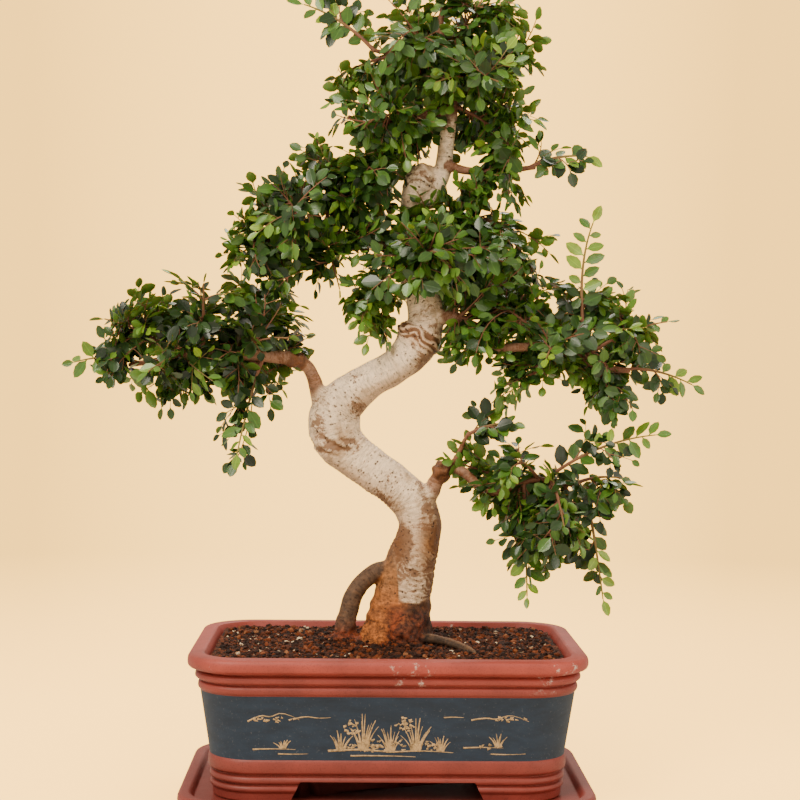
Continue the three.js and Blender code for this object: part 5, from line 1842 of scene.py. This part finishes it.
class BONSAI_OT_studio(bpy.types.Operator):
    """Sets the pale floor, the soft lights and the camera"""

    bl_idname = "bonsai.studio"
    bl_label = "Studio"

    def execute(self, context):
        settings = context.scene.bonsai_studio
        clear_selection()
        bpy.ops.mesh.primitive_circle_add(
            vertices=96, radius=settings.reach, fill_type="NGON", location=(0, 0, -0.0002)
        )
        floor = context.active_object
        floor.name = "floor"
        floor.data.materials.append(self.paper(settings))
        for name, place, target, size, power, colour in LIGHTS:
            light = bpy.data.lights.new(name, "AREA")
            light.shape = "DISK"
            light.size = size
            light.energy = power
            light.color = linear(colour)
            lamp = bpy.data.objects.new(name, light)
            lamp.location = place
            way = Vector(target) - Vector(place)
            lamp.rotation_euler = way.to_track_quat("-Z", "Y").to_euler()
            context.scene.collection.objects.link(lamp)
        self.set_world(context, settings)
        self.set_camera(context, settings)
        return {"FINISHED"}

    def set_world(self, context, settings):
        """Soft light from all round, and a glowing backdrop that only the camera sees."""
        world = bpy.data.worlds.new("studio")
        world.use_nodes = True
        nodes = world.node_tree.nodes
        light = nodes["Background"]
        light.inputs["Color"].default_value = (*linear("#FFF3E0"), 1)
        light.inputs["Strength"].default_value = SOFT_LIGHT
        seen = nodes.new("ShaderNodeBackground")
        seen.inputs["Color"].default_value = (*settings.wall, 1)
        way = add(nodes, "TexCoord").outputs["Generated"]
        turned = add(nodes, "SeparateXYZ", {"Vector": way}).outputs["X"]
        aside = add(nodes, "Math", {0: turned, 1: GLOW_ASIDE}, operation="SUBTRACT")
        falling = add(nodes, "Math", {0: aside, 1: aside}, operation="MULTIPLY")
        dimmed = add(nodes, "Math", {0: falling, 1: GLOW_FALL, 2: GLOW}, operation="MULTIPLY_ADD")
        held = add(nodes, "Math", {0: dimmed, 1: LEAST_GLOW}, operation="MAXIMUM")
        feed(nodes, seen, {"Strength": held})
        path = nodes.new("ShaderNodeLightPath")
        mixed = nodes.new("ShaderNodeMixShader")
        feed(nodes, mixed, {0: path.outputs["Is Camera Ray"], 1: light, 2: seen})
        feed(nodes, nodes["World Output"], {"Surface": mixed})
        context.scene.world = world

    def paper(self, settings):
        """Seamless studio paper: matt, and fading into the backdrop's light at its edge."""
        material, nodes, shader, place = new_material("seamless paper")
        distance = add(nodes, "VectorMath", {0: place}, operation="LENGTH")
        away = add(
            nodes, "MapRange", {"Value": distance, "From Min": 0.45, "From Max": settings.reach * 0.8}
        )
        tooth = add(nodes, "TexNoise", {"Vector": place, "Scale": marks_of(11.1), "Detail": 3})
        bump = add(nodes, "Bump", {"Height": tooth, "Strength": 0.03, "Distance": 0.001})
        seen = add(nodes, "LightPath").outputs["Is Camera Ray"]
        glow = add(nodes, "Math", {0: seen, 1: FLOOR_GLOW}, operation="MULTIPLY")
        shown = add(nodes, "Mix", {0: seen, 6: linear("#E6D9C4"), 7: settings.floor}, **MIXED)
        feed(
            nodes, shader,
            {
                "Base Color": shown, "Roughness": 0.9, "Specular IOR Level": 0.1,
                "Emission Color": settings.wall, "Emission Strength": glow, "Normal": bump
            }
        )
        clear = add(nodes, "BsdfTransparent")
        blend = add(nodes, "MixShader", {0: away, 1: shader, 2: clear})
        feed(nodes, nodes["Material Output"], {"Surface": blend})
        return material

    def set_camera(self, context, settings):
        """Sets the camera at the photographed view."""
        camera = bpy.data.cameras.new("camera")
        camera.lens = settings.lens
        camera.sensor_width = 36
        camera.clip_end = 20
        holder = bpy.data.objects.new("camera", camera)
        right, up = Vector(CAMERA_RIGHT), Vector(CAMERA_UP)
        turn = Matrix((right, up, right.cross(up))).transposed().to_4x4()
        holder.matrix_world = Matrix.Translation(CAMERA_PLACE) @ turn
        context.scene.collection.objects.link(holder)
        context.scene.camera = holder


OPERATORS = [
    BONSAI_OT_tray, BONSAI_OT_pot, BONSAI_OT_drawing, BONSAI_OT_screens, BONSAI_OT_soil, BONSAI_OT_wood,
    BONSAI_OT_foliage, BONSAI_OT_studio
]


class BONSAI_PT_sidebar(bpy.types.Panel):
    """Lists the bonsai's sizes, colours and building steps"""

    bl_idname = "BONSAI_PT_sidebar"
    bl_label = "Elm bonsai"
    bl_space_type = "VIEW_3D"
    bl_region_type = "UI"
    bl_category = "Bonsai"

    def draw(self, context):
        for key, group in SETTINGS.items():
            box = self.layout.box()
            box.label(text=group.__doc__)
            for name in group.__annotations__:
                box.prop(getattr(context.scene, key), name)
        for operator in OPERATORS:
            self.layout.operator(operator.bl_idname)


def register():
    for group in (*SETTINGS.values(), *OPERATORS, BONSAI_PT_sidebar):
        bpy.utils.register_class(group)
    for key, group in SETTINGS.items():
        setattr(bpy.types.Scene, key, PointerProperty(type=group))


def unregister():
    for key in SETTINGS:
        delattr(bpy.types.Scene, key)
    for group in reversed((*SETTINGS.values(), *OPERATORS, BONSAI_PT_sidebar)):
        bpy.utils.unregister_class(group)


def main():
    register()
    bpy.ops.bonsai.tray()
    bpy.ops.bonsai.pot()
    bpy.ops.bonsai.drawing()
    bpy.ops.bonsai.screens()
    bpy.ops.bonsai.soil()
    bpy.ops.bonsai.wood()
    bpy.ops.bonsai.foliage()
    bpy.ops.bonsai.studio()
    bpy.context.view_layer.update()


if __name__ == "__main__":
    main()
